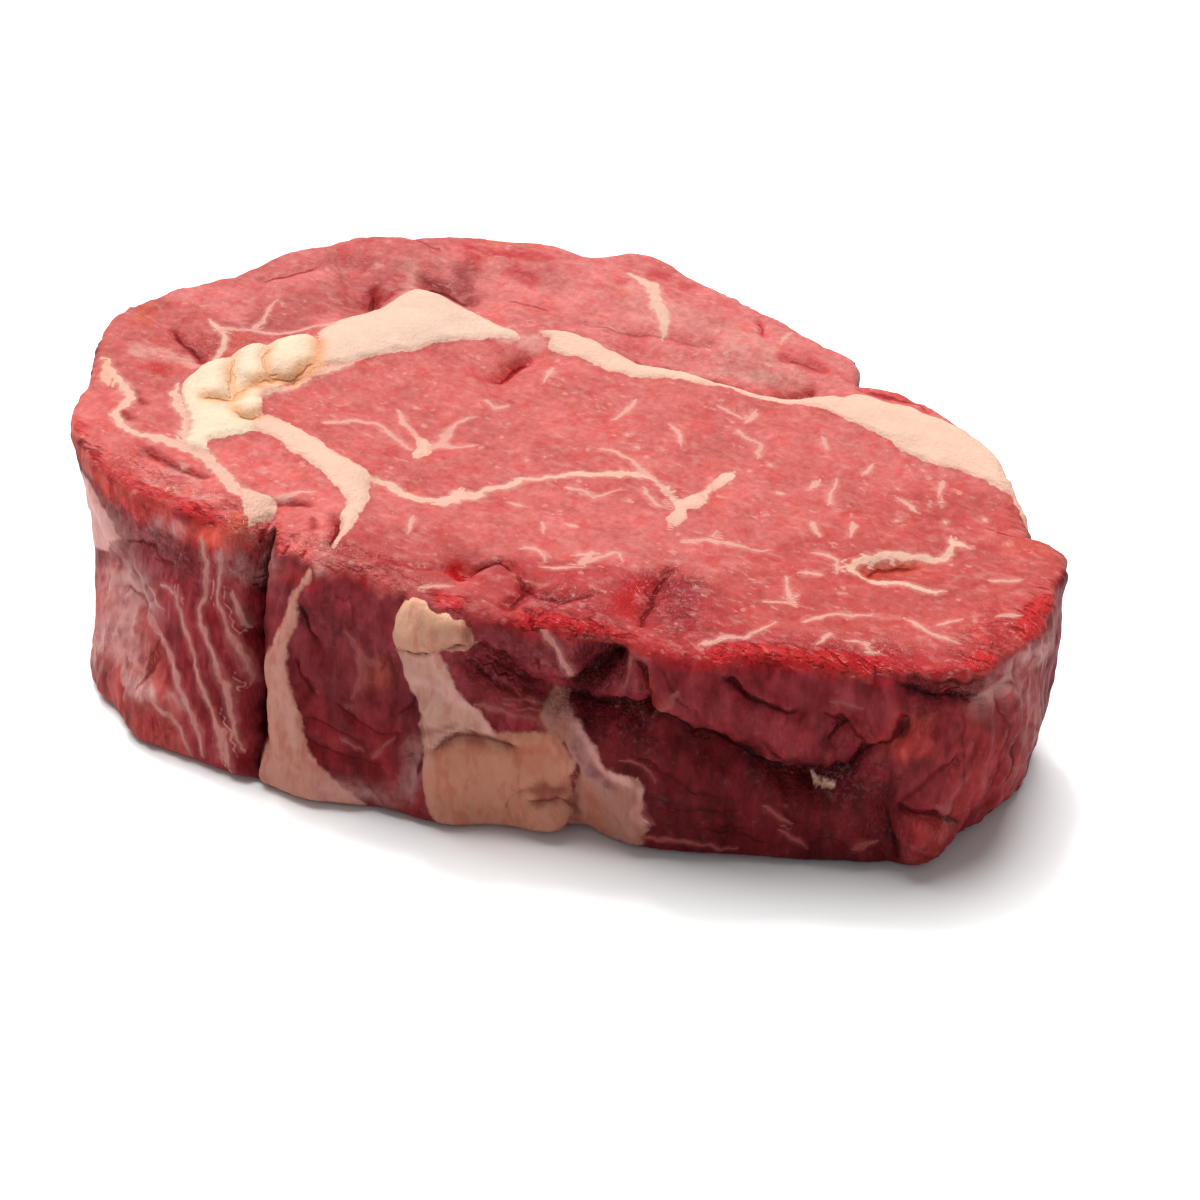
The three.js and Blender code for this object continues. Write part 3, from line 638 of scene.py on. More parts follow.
# Seams and veins of the cut face: path, width at its start, width at its end, tone
topVeins = [
    ([(-86.4, -22.6), (-82.1, -25.4), (-78, -28), (-74.8, -29.6), (-74.2, -33), (-73.5, -36),
      (-70, -38.6), (-66.1, -39.4)], 1.6, 2, "netFat"),
    ([(-67, -39.4), (-63, -38.8), (-59.3, -38), (-55.8, -37.8), (-52, -38.8), (-48, -40.8),
      (-43.5, -42.8), (-38.6, -44.6)], 2.2, 3.6, "netFat"),
    ([(-69, -22), (-68.5, -25), (-66, -27.5), (-63, -29.5), (-60.5, -31.5), (-59.5, -34), (-58, -37.5)],
     2, 2.6, "netFat"),
    ([(-85, -23), (-82.5, -26), (-80.5, -29)], 2.2, 1.8, "rimFat"),
    ([(-54.8, -18.6), (-52.4, -14), (-50.4, -9.2), (-48.6, -5), (-45.8, -1.4)], 1.6, 2, "netFat"),
    ([(-76.7, -2.3), (-72.1, -3.8), (-69.6, -7.8), (-68.1, -12)], 1, 1.6, "netFat"),
    ([(-73, -3.9), (-71.1, -2), (-68.4, -0.3), (-69.2, 4.5), (-69.3, 9.5)], 1.3, 0.7, "veinFat"),
    ([(-68.6, -0.5), (-63.6, 0.6), (-59.5, 4), (-55.2, 8.6)], 1.4, 1, "veinFat"),
    ([(-36, -41), (-33, -38.5), (-31, -38)], 0.9, 0.7, "veinFat"),
    ([(-17, 51), (-12, 50), (-10, 48.5), (-8, 45)], 2, 3.2, "netFat"),
    ([(-8, 45), (-6, 42.5), (-4, 39), (-3, 37)], 3.2, 1.8, "netFat"),
    ([(17.5, 50), (17.5, 46)], 0.9, 0.7, "veinFat"),
    ([(-31.2, -8.8), (-27.4, -11.6), (-23.6, -14.4)], 1, 1.4, "veinFat"),
    ([(-21.4, -15.8), (-19.9, -13.5), (-20.5, -10.2), (-20.3, -5.8), (-18.5, -3)], 1.5, 0.9, "veinFat"),
    ([(-20.4, -14.2), (-17, -12.2), (-14.5, -10.8)], 1, 0.7, "veinFat"),
    ([(-40.5, -18.9), (-38.7, -17.3), (-36.7, -15.9), (-33.7, -15.1), (-31, -14.8), (-28, -16.4),
      (-24, -18)], 0.9, 0.8, "veinFat"),
    ([(-26, -30), (-22, -29.5), (-18, -30.5), (-15, -30), (-12.5, -28.5), (-10.5, -28)], 1.6, 2.6,
      "netFat"),
    ([(-10.5, -28), (-9.5, -26), (-10, -24.3), (-7, -24), (-5.5, -21), (-4, -19), (-3, -16.5),
      (-1, -14.5)], 2.4, 1.3, "netFat"),
    ([(-1, -14.5), (1, -12.5), (3, -10.5), (5, -9), (8, -7.5), (11, -6), (14, -4.5), (17, -4), (20, -4.5),
      (22, -6), (23.5, -7.5), (25, -8.5)], 1.2, 1.8, "netFat"),
    ([(27.6, -4.4), (27.4, -0.9), (27.4, 3), (28.2, 5.4)], 1.6, 1, "netFat"),
    ([(21.8, -5.7), (19.4, -4.3), (15.7, -3.1), (12.1, -1.4), (7.9, 0.5), (5.6, -0.3)], 1.7, 0.8,
      "veinFat"),
    ([(25.4, -8.4), (25.6, -11)], 1.4, 1.6, "netFat"),
    ([(31, -17), (33, -15), (34, -12)], 0.8, 0.6, "veinFat"),
    ([(34, -14), (38, -13.5), (42, -13), (44, -11.5)], 0.8, 0.6, "veinFat"),
    ([(17, -8), (19, -8.7), (22, -9.5)], 0.8, 0.7, "veinFat"),
    ([(6, -13.3), (8, -12.5), (11, -13), (13.5, -10)], 0.9, 0.7, "veinFat"),
    ([(11.5, -22.5), (13, -22.3)], 1, 0.8, "veinFat"),
    ([(0, -22), (2, -21.5)], 0.9, 0.8, "veinFat"),
    ([(7, -25), (8, -26.5)], 0.9, 0.8, "veinFat"),
    ([(8, -32), (9, -31), (11, -31.5), (13, -33)], 1, 0.8, "veinFat"),
    ([(17, -29), (18.5, -27.5), (18.5, -30.5), (19.5, -29), (21, -26), (22.5, -25), (23.5, -26)],
     1, 0.8, "veinFat"),
    ([(14, -35), (19, -31.5)], 0.7, 0.6, "veinFat"),
    ([(-12, -36), (-11, -38.5)], 1, 0.7, "veinFat"),
    ([(-1, -50), (1, -48.5), (2, -48)], 1, 0.8, "veinFat"),
    ([(46, -40), (48, -37), (51, -34), (53, -30), (53.5, -29)], 1.3, 0.8, "veinFat"),
    ([(3, 16), (3, 12), (2.5, 9)], 0.9, 0.8, "veinFat"),
    ([(13.5, 12), (15, 11), (16, 8.5)], 1.4, 1, "veinFat"),
    ([(11, 4)], 1.8, 1.8, "veinFat"),
    ([(6.5, 7)], 1.2, 1.2, "veinFat"),
    ([(-19, 2), (-17, 1.5), (-16, 3)], 0.9, 0.7, "veinFat"),
    ([(-15, 16), (-14, 12)], 1.2, 0.8, "veinFat"),
    ([(23, 24), (23.5, 20.5)], 1, 0.7, "veinFat"),
    ([(17, 22.5), (22, 21.5)], 0.8, 0.7, "veinFat"),
    ([(24, 17), (29, 16), (30, 12)], 0.9, 0.7, "veinFat"),
    ([(33, 11)], 1.1, 1.1, "veinFat"),
    ([(42, 10), (42, 8)], 1, 0.8, "veinFat"),
    ([(37, 23), (39, 21)], 0.9, 0.8, "veinFat"),
    ([(48, 20), (48, 17)], 0.9, 0.8, "veinFat"),
    ([(38.5, 4)], 1.1, 1.1, "veinFat"),
    ([(46, 6.5), (44.5, 12.5)], 0.7, 0.6, "veinFat"),
    ([(52.5, 2), (53.5, 0)], 1.4, 1.2, "veinFat"),
    ([(57, 13), (60, 12)], 1.2, 1, "veinFat"),
    ([(61, 21), (62, 18)], 0.9, 0.7, "veinFat"),
    ([(46.5, -1), (48.5, -3)], 1.1, 0.9, "veinFat"),
    ([(58.5, 8)], 1.2, 1.2, "veinFat"),
    ([(66, 11.5)], 1.2, 1.2, "veinFat"),
    ([(71.5, 15.5)], 1.3, 1.3, "veinFat"),
    ([(55, 16)], 1.1, 1.1, "veinFat"),
    ([(78, 11.5)], 1.2, 1.2, "veinFat"),
    ([(63, 16.5)], 1.1, 1.1, "veinFat"),
    ([(57.5, -25), (61, -22), (66, -18.5)], 0.8, 0.6, "veinFat"),
    ([(66, -27), (69, -26), (70, -28), (72, -27)], 1, 0.8, "veinFat"),
    ([(73, -16), (77, -17), (81, -17.5)], 0.9, 0.7, "veinFat"),
    ([(77.5, -14), (79.5, -12)], 0.9, 0.7, "veinFat"),
    ([(62, -28), (62, -30)], 0.9, 0.7, "veinFat"),
    ([(80, 1), (84, 3)], 0.9, 0.7, "veinFat"),
    ([(85, -7.5), (87, -6.5)], 1.5, 1.2, "veinFat"),
    ([(50, -24), (53, -22), (53.5, -20)], 0.8, 0.7, "veinFat"),
    ([(50, -17), (54, -22)], 0.7, 0.6, "veinFat"),
    ([(30, -17), (34, -14), (36, -14.5)], 0.8, 0.7, "veinFat"),
    ([(52, -14), (54.5, -13)], 1.2, 0.9, "veinFat"),
    ([(51, -8), (53, -7), (55, -8), (57, -11)], 0.8, 0.6, "veinFat"),
    ([(62, -2.5), (59, -4), (57.5, -6), (58, -9), (60, -8.5)], 1.8, 1.4, "netFat"),
    ([(59, -4), (62, -2), (64, -0.5), (66, 1), (68, 2), (69.5, 3.5), (70, 6), (69, 8)], 2, 1.2, "netFat"),
    ([(70, 7), (72.5, 7)], 1.8, 1, "netFat"),
    ([(61, -9), (65, -9), (68, -8.3), (71, -7.3), (74, -6.5)], 1.4, 0.9, "netFat"),
]

# Muscles of the wall: outline by run and height, tone
wallMuscles = [
    ([(60.3, 36.6), (65.1, 41.6), (69.7, 41.5), (74.6, 40), (79, 38), (78, 35), (70.6, 31), (61, 26.6)],
      "inner"),
    ([(66, 44), (80, 50), (91, 40), (93, -9), (82, -9), (70, 22), (72, 31), (80, 37)], "striped"),
    ([(50, 24), (60, 26), (70, 21), (80, 12), (86, -9), (46, -9)], "redSide"),
    ([(96, 60), (96, 18), (125, 18), (122, 60)], "purple"),
    ([(100, 22), (125, 18), (127, -9), (98, -9)], "foot"),
    ([(113, 30), (116.5, 31), (118, 27), (115, 25)], "brown"),
    ([(130, 60), (128, 30), (150, 29), (165, 34), (166, 60)], "purple"),
    ([(152, 29), (162, 31), (173, 27), (180, 24), (190, 18), (206, 20), (206, -9), (152, -9)], "low"),
    ([(188, 24), (199, 23), (197, 17), (188, 16)], "rough"),
    ([(201, 27), (205, 33), (209.5, 34), (210, 30), (206, 25)], "flap"),
    ([(213, 60), (210, 20), (214, -9), (238, -9), (238, 60)], "end"),
    ([(216, 30), (236, 32), (236, 8), (216, 8)], "endLow"),
    ([(207, 15), (214, 13), (213, 4), (209, -2)], "lump"),
    ([(303, 60), (300, 24), (303, -9), (476, -9), (478, 60)], "capSide"),
]
# Patches and streaks of the wall, with painted shade along its slits and creases: path, width, strength,
# tone
wallStains = [
    ([(40, 44), (60, 44)], 1.6, 0.6, "orangeRim"),
    ([(61, 46), (66, 45), (71, 44.6), (75, 43.8), (80, 43.6), (86, 45)], 1.5, 0.6, "orangeRim"),
    ([(57, 43), (64, 42), (71, 42), (78, 42.4), (88, 43)], 1.8, 0.8, "lipRed"),
    ([(80, 43), (84, 43)], 1.3, 0.6, "orangeRim"),
    ([(97, 42), (104, 41)], 2, 0.4, "brightRim"),
    ([(107, 44), (119, 44)], 1.2, 0.4, "brightRim"),
    ([(132, 43.5), (146, 42.5), (158, 42)], 1.2, 0.4, "brightRim"),
    ([(160, 42), (176, 41.6), (190, 41), (206, 40.4)], 1, 0.4, "brightRim"),
    ([(164, 37), (166, 33)], 2, 0.4, "flap"),
    ([(60, 22), (64, 14), (72, 12)], 4, 0.45, "lining"),
    ([(68, 10), (74, 12)], 2, 0.5, "lining"),
    ([(91.2, 44), (91.2, 34), (91.6, 26), (92.8, 16), (94, 8), (94.6, 2)], 0.9, 0.9, "slitShade"),
    ([(100.5, 36), (103, 36)], 1.6, 0.7, "slitShade"),
    ([(158, 40), (155, 36), (152.6, 33), (149.5, 30)], 1.6, 0.8, "slitShade"),
    ([(148, 26.8), (153, 27.6), (162, 31), (167, 29.5), (173, 26.5), (179, 23.5), (186, 19)], 0.9, 0.7,
      "slitShade"),
    (folds["flapFold"], 0.8, 0.6, "slitShade"),
    ([(176, 38.5), (180.3, 35.6), (183.9, 34.2)], 0.8, 0.6, "slitShade"),
    ([(193.5, 27.7), (195.7, 30.5)], 0.8, 0.6, "slitShade"),
    ([(186, 23), (190, 21.5), (196, 21)], 1.4, 0.6, "slitShade"),
    (folds["rightRimFold"], 1, 0.6, "slitShade"),
    ([(162.5, 14), (168, 14), (175, 11.5)], 0.7, 0.5, "slitShade"),
    (folds["rightFootFold"], 0.8, 0.5, "slitShade"),
    ([(212, 10)], 2, 0.4, "brown"),
    (folds["fatCapCrease"], 1, 0.6, "slitShade"),
    (folds["notchCrease"], 1.1, 0.7, "slitShade"),
    (folds["backCrease"], 1.1, 0.6, "slitShade"),
    (folds["leftEndCrease"], 1.1, 0.6, "slitShade"),
]
# Fat of the wall: outline, tone, height by which it stands proud
wallFat = [
    ([(106.5, 46.5), (103.6, 43.4), (101.4, 39.4), (100.6, 35), (100.4, 30.6), (100.4, 26), (101.2, 22),
      (103, 17), (104.8, 12), (107.5, 8), (110.5, 5), (114, 2), (117, -4), (96, -4), (95.6, 4),
      (96.2, 9), (96, 14), (95.6, 19), (95.9, 26), (97.3, 32), (99.6, 38), (101.4, 43), (102.6, 46.5)],
      "bandFat", 0.5),
    ([(122.4, 43.6), (119.9, 41), (119.2, 37.8), (119.8, 35), (122, 32.8), (124.4, 32.6), (126.4, 34.4),
      (128.3, 36.6), (131.1, 36.2), (133, 37.8), (133, 41.2), (131.3, 42.7), (129, 43.9), (125.7, 44)],
     "lumpTop", 1.5),
    ([(120, 33.4), (120.2, 29.8), (121.6, 26.4), (123.6, 23.4), (124.1, 19), (125.2, 15), (131, 18),
      (137.3, 21), (135.2, 23.8), (132.1, 28), (129.2, 32), (127, 35.4), (123, 33.6)], "neck", 0.4),
    ([(124.9, 17.2), (125.3, 10.9), (126, 5.7), (128, 1), (130, -4), (147, -4), (149, 3), (150.4, 7),
      (150.2, 10.4), (149.6, 13), (151.4, 19.5), (147, 22.4), (140, 22), (134.4, 20.2), (128.1, 18.6)],
      "lumpFoot", 0.8),
    ([(144.6, 26.6), (146, 28.2), (148, 27.6), (149, 25.6), (152, 24.6), (155, 21.8), (158.4, 18.2),
      (161.5, 16.2), (163.1, 15.5), (162.8, 11.7), (164.2, 6), (163, 1), (161, -4), (147, -4),
      (150, 5.5), (150.4, 11.9), (152.4, 18.9), (149.2, 21.8), (145.8, 22.4), (143.8, 24)], "greyLobe",
      0.4),
    ([(46, 40), (52, 41), (55.3, 39.2), (58.9, 36.5), (60.4, 33), (57, 31), (52.8, 26), (47, 22.6),
      (41, 28.1), (42, 36)], "whiteSide", 0.3),
    ([(190.6, 17.7), (191.6, 18.1), (192.6, 17.8), (193.6, 18.2), (195.4, 17.9), (194.6, 17.4),
      (193.4, 17), (192.4, 17.3), (191.4, 16.9)], "crumb", 0.3),
    ([(263, 60), (266, 34), (262, 12), (268, -6), (298, -6), (303, 20), (300, 40), (303, 60)],
      "backFat", 0.5),
]
# Painted shade and a painted highlight on the wall's fat, and its tints: path, width, strength, tone
wallFatStains = [
    ([(121, 33.9), (125, 35.6), (128.5, 37.8), (131.1, 39.2), (132.1, 41.4)], 1.2, 0.7, "fatShadow"),
    ([(121.5, 40), (123.5, 42.6), (129.5, 43.4)], 1.8, 0.7, "fatLitTop"),
    (folds["lumpBrow"], 0.9, 0.8, "fatShadow"),
    ([(142.1, 18.3), (144.7, 19.8), (144, 16.3)], 1.6, 0.5, "fatOrange"),
    ([(144.7, 12.1), (146.5, 12.4), (148.2, 11.8)], 1.6, 0.8, "fatBrown"),
    (folds["lumpDent"], 0.8, 0.8, "fatBrown"),
    ([(120.9, 28.8), (124.1, 28.6), (127.7, 28.6), (131.3, 26.9), (134.3, 24.6), (136.4, 21.3)], 0.8, 0.7,
     "fatPink"),
    ([(126.8, 34.5), (126.9, 30.9), (130.4, 28.8)], 0.7, 0.6, "fatPink"),
    ([(123.5, 18.3), (126.7, 20.3), (130.5, 21.5)], 0.7, 0.7, "fatShadow"),
    ([(149.1, 25.3), (152.8, 23.6), (155.9, 20.9), (158.7, 17.7), (160.4, 15.7)], 1, 0.9, "fatPink"),
    ([(151.6, 21.5), (154.6, 18.9), (156.8, 16.1)], 1.2, 0.9, "fatPurple"),
    ([(162.7, 14.5), (162.3, 11.3), (163.6, 8.3)], 0.8, 0.6, "fatPink"),
    ([(153, 12), (155, 4)], 2.4, 0.4, "fatOrange"),
    ([(150.6, 4), (150.8, 10)], 1, 0.8, "fatBrown"),
    ([(103, 12), (99.5, 22), (99, 32)], 0.9, 0.4, "fatPink"),
]
wallVeins = [
    ([(80.5, 42), (81, 38.7), (82.2, 33.1), (82.3, 29.8), (83.7, 25.7), (86.5, 21.5), (88.5, 17.8),
      (89.4, 13.8), (90.6, 9.5), (91.6, 5.9)], 1, 0.8, "thread"),
    ([(84.4, 41), (84.8, 37.2), (85, 33), (87, 27.5), (89.6, 22.5), (90.8, 17.5)], 0.9, 0.6, "thread"),
    ([(87.6, 33.5), (89.6, 27)], 0.7, 0.6, "thread"),
    ([(76.8, 31), (78.9, 26.2), (81.5, 20.6), (84.4, 16.8), (86.6, 12.5), (88, 7.5), (88.6, 3)], 0.8,
      1.2, "thread"),
    ([(69, 22.5), (74, 20.4), (77.1, 17.5), (80, 14.6), (81.8, 11.8), (83.8, 8), (85.6, 3)], 1.4, 1.1,
      "thread"),
    ([(70.1, 27.4), (73.5, 25.9)], 0.8, 0.6, "thread"),
    ([(73.6, 30.6), (78, 29.9)], 0.8, 0.5, "thread"),
    ([(74, 11), (78.1, 8.5), (81, 5.7), (82.8, 2.1)], 0.9, 0.8, "thread"),
    ([(88.7, 9.5), (89.2, 5.1), (90, 2)], 1.3, 1, "thread"),
    ([(66, 14), (71, 14)], 1.6, 1.2, "thread"),
    ([(111, 34), (113.4, 31.6), (115.6, 30.4)], 1.4, 1.8, "smear"),
    ([(113.4, 31.6), (114.2, 27.6), (113, 24)], 1.5, 0.8, "smear"),
    ([(110.6, 14.6), (113.5, 13.4)], 0.7, 0.5, "smear"),
    ([(116.4, 12.4), (119.4, 16)], 1, 0.7, "smear"),
    ([(143.9, 43.7), (145.1, 42), (147.5, 39.7), (148.7, 36), (148.3, 31)], 1.2, 0.6, "thread"),
    ([(134.7, 26.3), (139.1, 25.5), (143.5, 24.4), (145.4, 22.5)], 1, 0.6, "smear"),
    ([(139.4, 27.8), (143.1, 27), (145, 26.1)], 0.7, 0.5, "smear"),
    ([(149.5, 25), (153, 22), (156.5, 18.6), (160, 15.8)], 1.3, 1.1, "thread"),
    ([(161.6, 15.4), (162.4, 12), (164, 8)], 1.1, 0.7, "thread"),
    ([(160.5, 41), (159.8, 37), (158, 33)], 0.8, 0.6, "smear"),
    ([(168, 36), (165.5, 32), (163.5, 29.4)], 1.2, 0.6, "smear"),
    ([(160, 20.6), (163.5, 18.6), (165, 17)], 0.7, 0.5, "smear"),
    ([(163, 3.4), (170, 4), (178, 3.4)], 1.4, 0.7, "smear"),
    ([(183.5, 12.6), (187, 10)], 1, 0.6, "smear"),
    ([(186, 8), (190, 4)], 0.7, 0.6, "smear"),
    ([(199.6, 5.5), (201.4, 5.8)], 1.8, 1.4, "smear"),
    ([(211.6, 16.6), (213, 15)], 2, 1.6, "smear"),
    ([(194, 35), (198, 34)], 0.7, 0.5, "smear"),
    ([(334, 38), (337, 29), (343, 22), (352, 14)], 0.9, 0.6, "smear"),
    ([(392, 38), (395, 29), (402, 23), (412, 20)], 0.9, 0.6, "smear"),
    ([(420, 38), (423, 30), (426, 20), (424, 9)], 0.9, 0.6, "smear"),
    ([(462, 39), (463, 31), (461, 20)], 0.9, 0.6, "smear"),
]
# Milky lining that covers parts of the wall: path, width, strength
wallVeils = [
    ([(30, 22), (45, 28), (56, 34)], 6, 0.8),
    ([(10, 30), (20, 20), (34, 10)], 8, 0.5),
    ([(54, 20), (61, 24.5), (68, 25)], 4, 0.95),
    ([(55, 7), (58, 14), (65, 19)], 3.6, 0.85),
    ([(78.6, 12), (80, 11.4)], 1.4, 0.9),
    ([(70, 41), (76, 42.6)], 1.5, 0.9),
    ([(86, 41), (90, 38), (94, 42)], 2.6, 0.55),
    ([(108, 4), (117, 3.8), (122, 6), (123.6, 11), (123.8, 15.5)], 2, 0.55),
    ([(124, 9), (126, 16)], 1.6, 0.45),
    ([(152, 21), (157, 16)], 1.6, 0.4),
    ([(218, 36), (228, 37.5), (242, 35)], 2.6, 0.75),
    ([(228, 34), (234, 22), (238, 10)], 4, 0.35),
    ([(330, 14), (360, 10), (390, 14)], 9, 0.3),
    ([(410, 34), (430, 20), (450, 30)], 8, 0.3),
]
# Wet, rough and ragged places of the wall and of the cut face: path, width, strength
wetWall = [
    ([(136, 35), (146, 34), (158, 36)], 6, 0.7),
    ([(150, 28), (160, 28)], 4, 0.8),
    ([(60, 40), (78, 38), (90, 40)], 5, 0.6),
    ([(186, 20), (192, 18), (198, 20)], 5, 0.7),
    ([(208, 38), (216, 38)], 4, 0.5),
    ([(196, 8), (212, 8)], 6, 0.4),
]
wetPatches = [
    ([(21, -41), (29, -46)], 5, 0.7),
    ([(34, -29), (41, -37)], 5.5, 0.8),
    ([(50, -38), (74, -26)], 5, 0.6),
    ([(84, -20), (86, -8)], 5, 0.6),
    ([(-64, -46), (-30, -50), (0, -49)], 4, 0.6),
    ([(-66, 0), (-76, -14)], 6, 0.4),
]


def linear(colour):
    share = np.array(colour, float) / 255
    return np.where(share <= 0.04045, share / 12.92, ((share + 0.055) / 1.055) ** 2.4)


def inside(u, v, outline):  # how far inside an outline, less than 0 outside it
    points = np.array(outline, float)
    following = np.roll(points, -1, 0)
    crossings = np.zeros(u.shape, bool)
    for (au, av), (bu, bv) in zip(points, following):
        if av != bv:
            crossings ^= ((av > v) != (bv > v)) & (u < (bu - au) * (v - av) / (bv - av) + au)
    distance = nearest(u, v, list(outline) + [outline[0]])[0]
    return np.where(crossings, distance, -distance)


def fatField(u, v, areas, veins, names):
    # depth inside the nearest patch of fat, its tone and how proud it stands, then the nearest vein's
    # own line: signed distance, plain distance and half its width
    depth = np.full(u.shape, -9.0)
    proud = np.zeros(u.shape)
    tone = np.zeros(u.shape + (3,)) + names[areas[0][1]]
    for outline, name, height in areas:
        field = inside(u, v, outline)
        tone[field > depth] = names[name]
        depth = np.maximum(depth, field)
        proud = np.maximum(proud, height * smooth(field, -0.5, 1.2))
    vein, reach, half = (np.full(u.shape, start) for start in (9.0, 9.0, 0.1))
    for path, first, last, name in veins:
        distance, place, across = nearest(u, v, path)
        fromTip = 1 - place if first > last else np.minimum(place, 1 - place)
        taper = 0.45 + 0.55 * smooth(fromTip, 0, 0.2)
        width = (first + (last - first) * place) / 2 * taper * look["veinWidth"]
        closer = distance - width < reach - half
        vein = np.where(closer, distance * across, vein)
        reach, half = np.where(closer, distance, reach), np.where(closer, width, half)
        tone[closer & (width - distance > depth - 0.3)] = names[name]
    patch = {"fat": depth, "fatTone": tone, "proud": proud}
    return patch | {"vein": vein, "veinReach": reach, "veinHalf": half}


def creaseField(u, v, cuts):  # signed and plain distance to the nearest fine crease, and how deep it is
    crease, reach, deep = (np.full(u.shape, start) for start in (9.0, 9.0, 0.0))
    for path, _, height in cuts:
        distance, place, across = nearest(u, v, path)
        closer = distance < reach
        crease = np.where(closer, distance * across, crease)
        reach = np.where(closer, distance, reach)
        deep = np.where(closer, -height * smooth(np.minimum(place, 1 - place), -0.05, 0.15), deep)
    return {"crease": crease, "creaseReach": reach, "creaseDeep": deep}


def toneField(u, v, base, areas, stains, names, blend):
    tone = np.zeros(u.shape + (3,)) + names[base]
    for outline, name in areas:
        share = smooth(inside(u, v, outline), -blend, blend)[..., None]
        tone = tone * (1 - share) + names[name] * share
    return stainedTone(tone, u, v, stains, names)


def stainedTone(tone, u, v, stains, names):
    frayed = roughness2d(u, v, 2.1, 0) + 0.5 * roughness2d(u, v, 1.1, 1)
    for path, width, strength, name in stains:
        distance = nearest(u, v, path)[0] + look["fray"] * width * frayed
        share = (strength * np.exp(-((np.maximum(distance, 0) / width) ** 4)))[..., None]
        tone = tone * (1 - share) + names[name] * share
    return tone


def patchField(u, v, patches):
    share = np.zeros_like(u)
    for path, width, strength in patches:
        share = np.maximum(share, strength * np.exp(-((nearest(u, v, path)[0] / width) ** 2)))
    return share


look = {
    "topLight": 1.8,  # how bright a white card looks on the cut face
    "wallLight": 1.05,  # and on the wall
    "veinWidth": 0.8,
    "fray": 0.45,
    "blend": 1.8,  # mm over which one muscle turns into the next
    "rimBlend": 2.4,  # mm below the rim where the cut face's colours give way to the wall's
    "rimRagged": 1.3,
}
topTones = {name: linear(colour) / look["topLight"] for name, colour in tones.items()}
sideTones = {name: linear(colour) / look["wallLight"] for name, colour in wallTones.items()}


def topFields(x, y):
    u, v = wander(x, y)
    found = fatField(u, v, topFat, topVeins, topTones) | creaseField(u, v, topCuts)
    # painted orange shade in the creases between the lumps of fat
    shade = patchField(x, y, lumpShades)[..., None]
    found["fatTone"] = found["fatTone"] * (1 - shade) + topTones["lumpShade"] * shade
    found["meatTone"] = toneField(u, v, "eye", topMuscles, topStains, topTones, look["blend"])
    return found | {"wet": patchField(x, y, wetPatches), "veil": np.zeros(x.shape)}


def wallFields(run, z):
    u, v = wander(run, z)
    found = fatField(u, v, wallFat, wallVeins, sideTones) | creaseField(u, v, wallCuts)
    found["fatTone"] = stainedTone(found["fatTone"], u, v, wallFatStains, sideTones)
    found["meatTone"] = toneField(u, v, "muscle", wallMuscles, wallStains, sideTones, look["blend"])
    return found | {"wet": patchField(run, z, wetWall), "veil": patchField(u, v, wallVeils)}


inner = topEdge < 0
onTop = topFields(np.r_[wallGrid[..., 0].ravel(), topGrid[inner][:, 0]],
                  np.r_[wallGrid[..., 1].ravel(), topGrid[inner][:, 1]])
drawnIn = 0.95  # the foot is a little wider than the rim, so its colours are read from further in
onFoot = topFields(footGrid[..., 0].ravel() * drawnIn, footGrid[..., 1].ravel() * drawnIn + 1)
onWall = wallFields(wallRun.ravel(), wallHigh.ravel())
below = thickness(rim[:, 0]) - wallHigh
topRing, topPlace = squareRings(columns // 8)
topRun = slab["runStart"] + topPlace[inner] * (rimRun[-1] - rimRun[0])
ragged = roughness2d(wallRun, wallHigh * 0.3, 3.6, 0) + 0.6 * roughness2d(wallRun, wallHigh * 0.3, 1.3, 1)
side = smooth(below + look["rimRagged"] * ragged * smooth(below, 0, 1), 0.5, look["rimBlend"])
side = (side * smooth(wallHigh, -0.5, 1)).ravel()
fields = {}
for name in onTop:
    share = side if name in ("fat", "proud", "wet", "veil", "meatTone") else (side > 0.5).astype(float)
    share = share[:, None] if onTop[name].ndim == 2 else share
    mixed = onTop[name][: side.size] * (1 - share) + onWall[name] * share
    fields[name] = np.concatenate([mixed, onTop[name][side.size:], onFoot[name]])
others = np.zeros(len(steakPoints) - side.size)
halfWidth = 50  # mm, from the middle of the cut face to its rim, on average
fromRim = (1 - topRing[inner] * 8 / columns) * halfWidth
fields["wall"] = np.r_[side, others]
fields["relief"] = np.r_[smooth(wallHigh.ravel(), 0, 3), np.ones(inner.sum()), np.zeros(footEdge.size)]


def redness(run, away, reach):  # patches of torn red along the rim, fading this far away from it
    patches = 0.2 + 0.8 * smooth(roughness2d(run, run * 0, 7, 2), -0.5, 0.4)
    return np.interp(run, *np.array(rimKeys).T) * patches * np.exp(-((away / reach) ** 2))


nearRim = [redness(wallRun.ravel(), below.ravel(), 1.7), redness(topRun, fromRim, 1.5) * 0.8]
fields["rim"] = np.r_[(*nearRim, np.zeros(footEdge.size))]
print("fields of fat and meat worked out")


def addNode(tree, kind, values=None, **settings):
    node = tree.nodes.new(kind)
    for key, value in settings.items():
        setattr(node, key, value)
    for key, value in (values or {}).items():
        socket = node.inputs[key]
        if isinstance(value, bpy.types.NodeSocket):
            tree.links.new(value, socket)
        else:
            socket.default_value = value
    return node


def calculate(tree, operation, a, b=0.0, c=0.0, clamp=False):
    values = {0: a, 1: b, 2: c} if operation in ("MULTIPLY_ADD", "COMPARE") else {0: a, 1: b}
    return addNode(tree, "ShaderNodeMath", values, operation=operation, use_clamp=clamp).outputs[0]


def ramp(tree, value, low, high, first=0.0, last=1.0):
    values = {0: value, 1: low, 2: high, 3: first, 4: last}
    return addNode(tree, "ShaderNodeMapRange", values, interpolation_type="SMOOTHSTEP").outputs[0]


def mixTone(tree, share, a, b, blend="MIX"):
    values = {0: share, 6: a, 7: b}
    return addNode(tree, "ShaderNodeMix", values, data_type="RGBA", blend_type=blend).outputs[2]


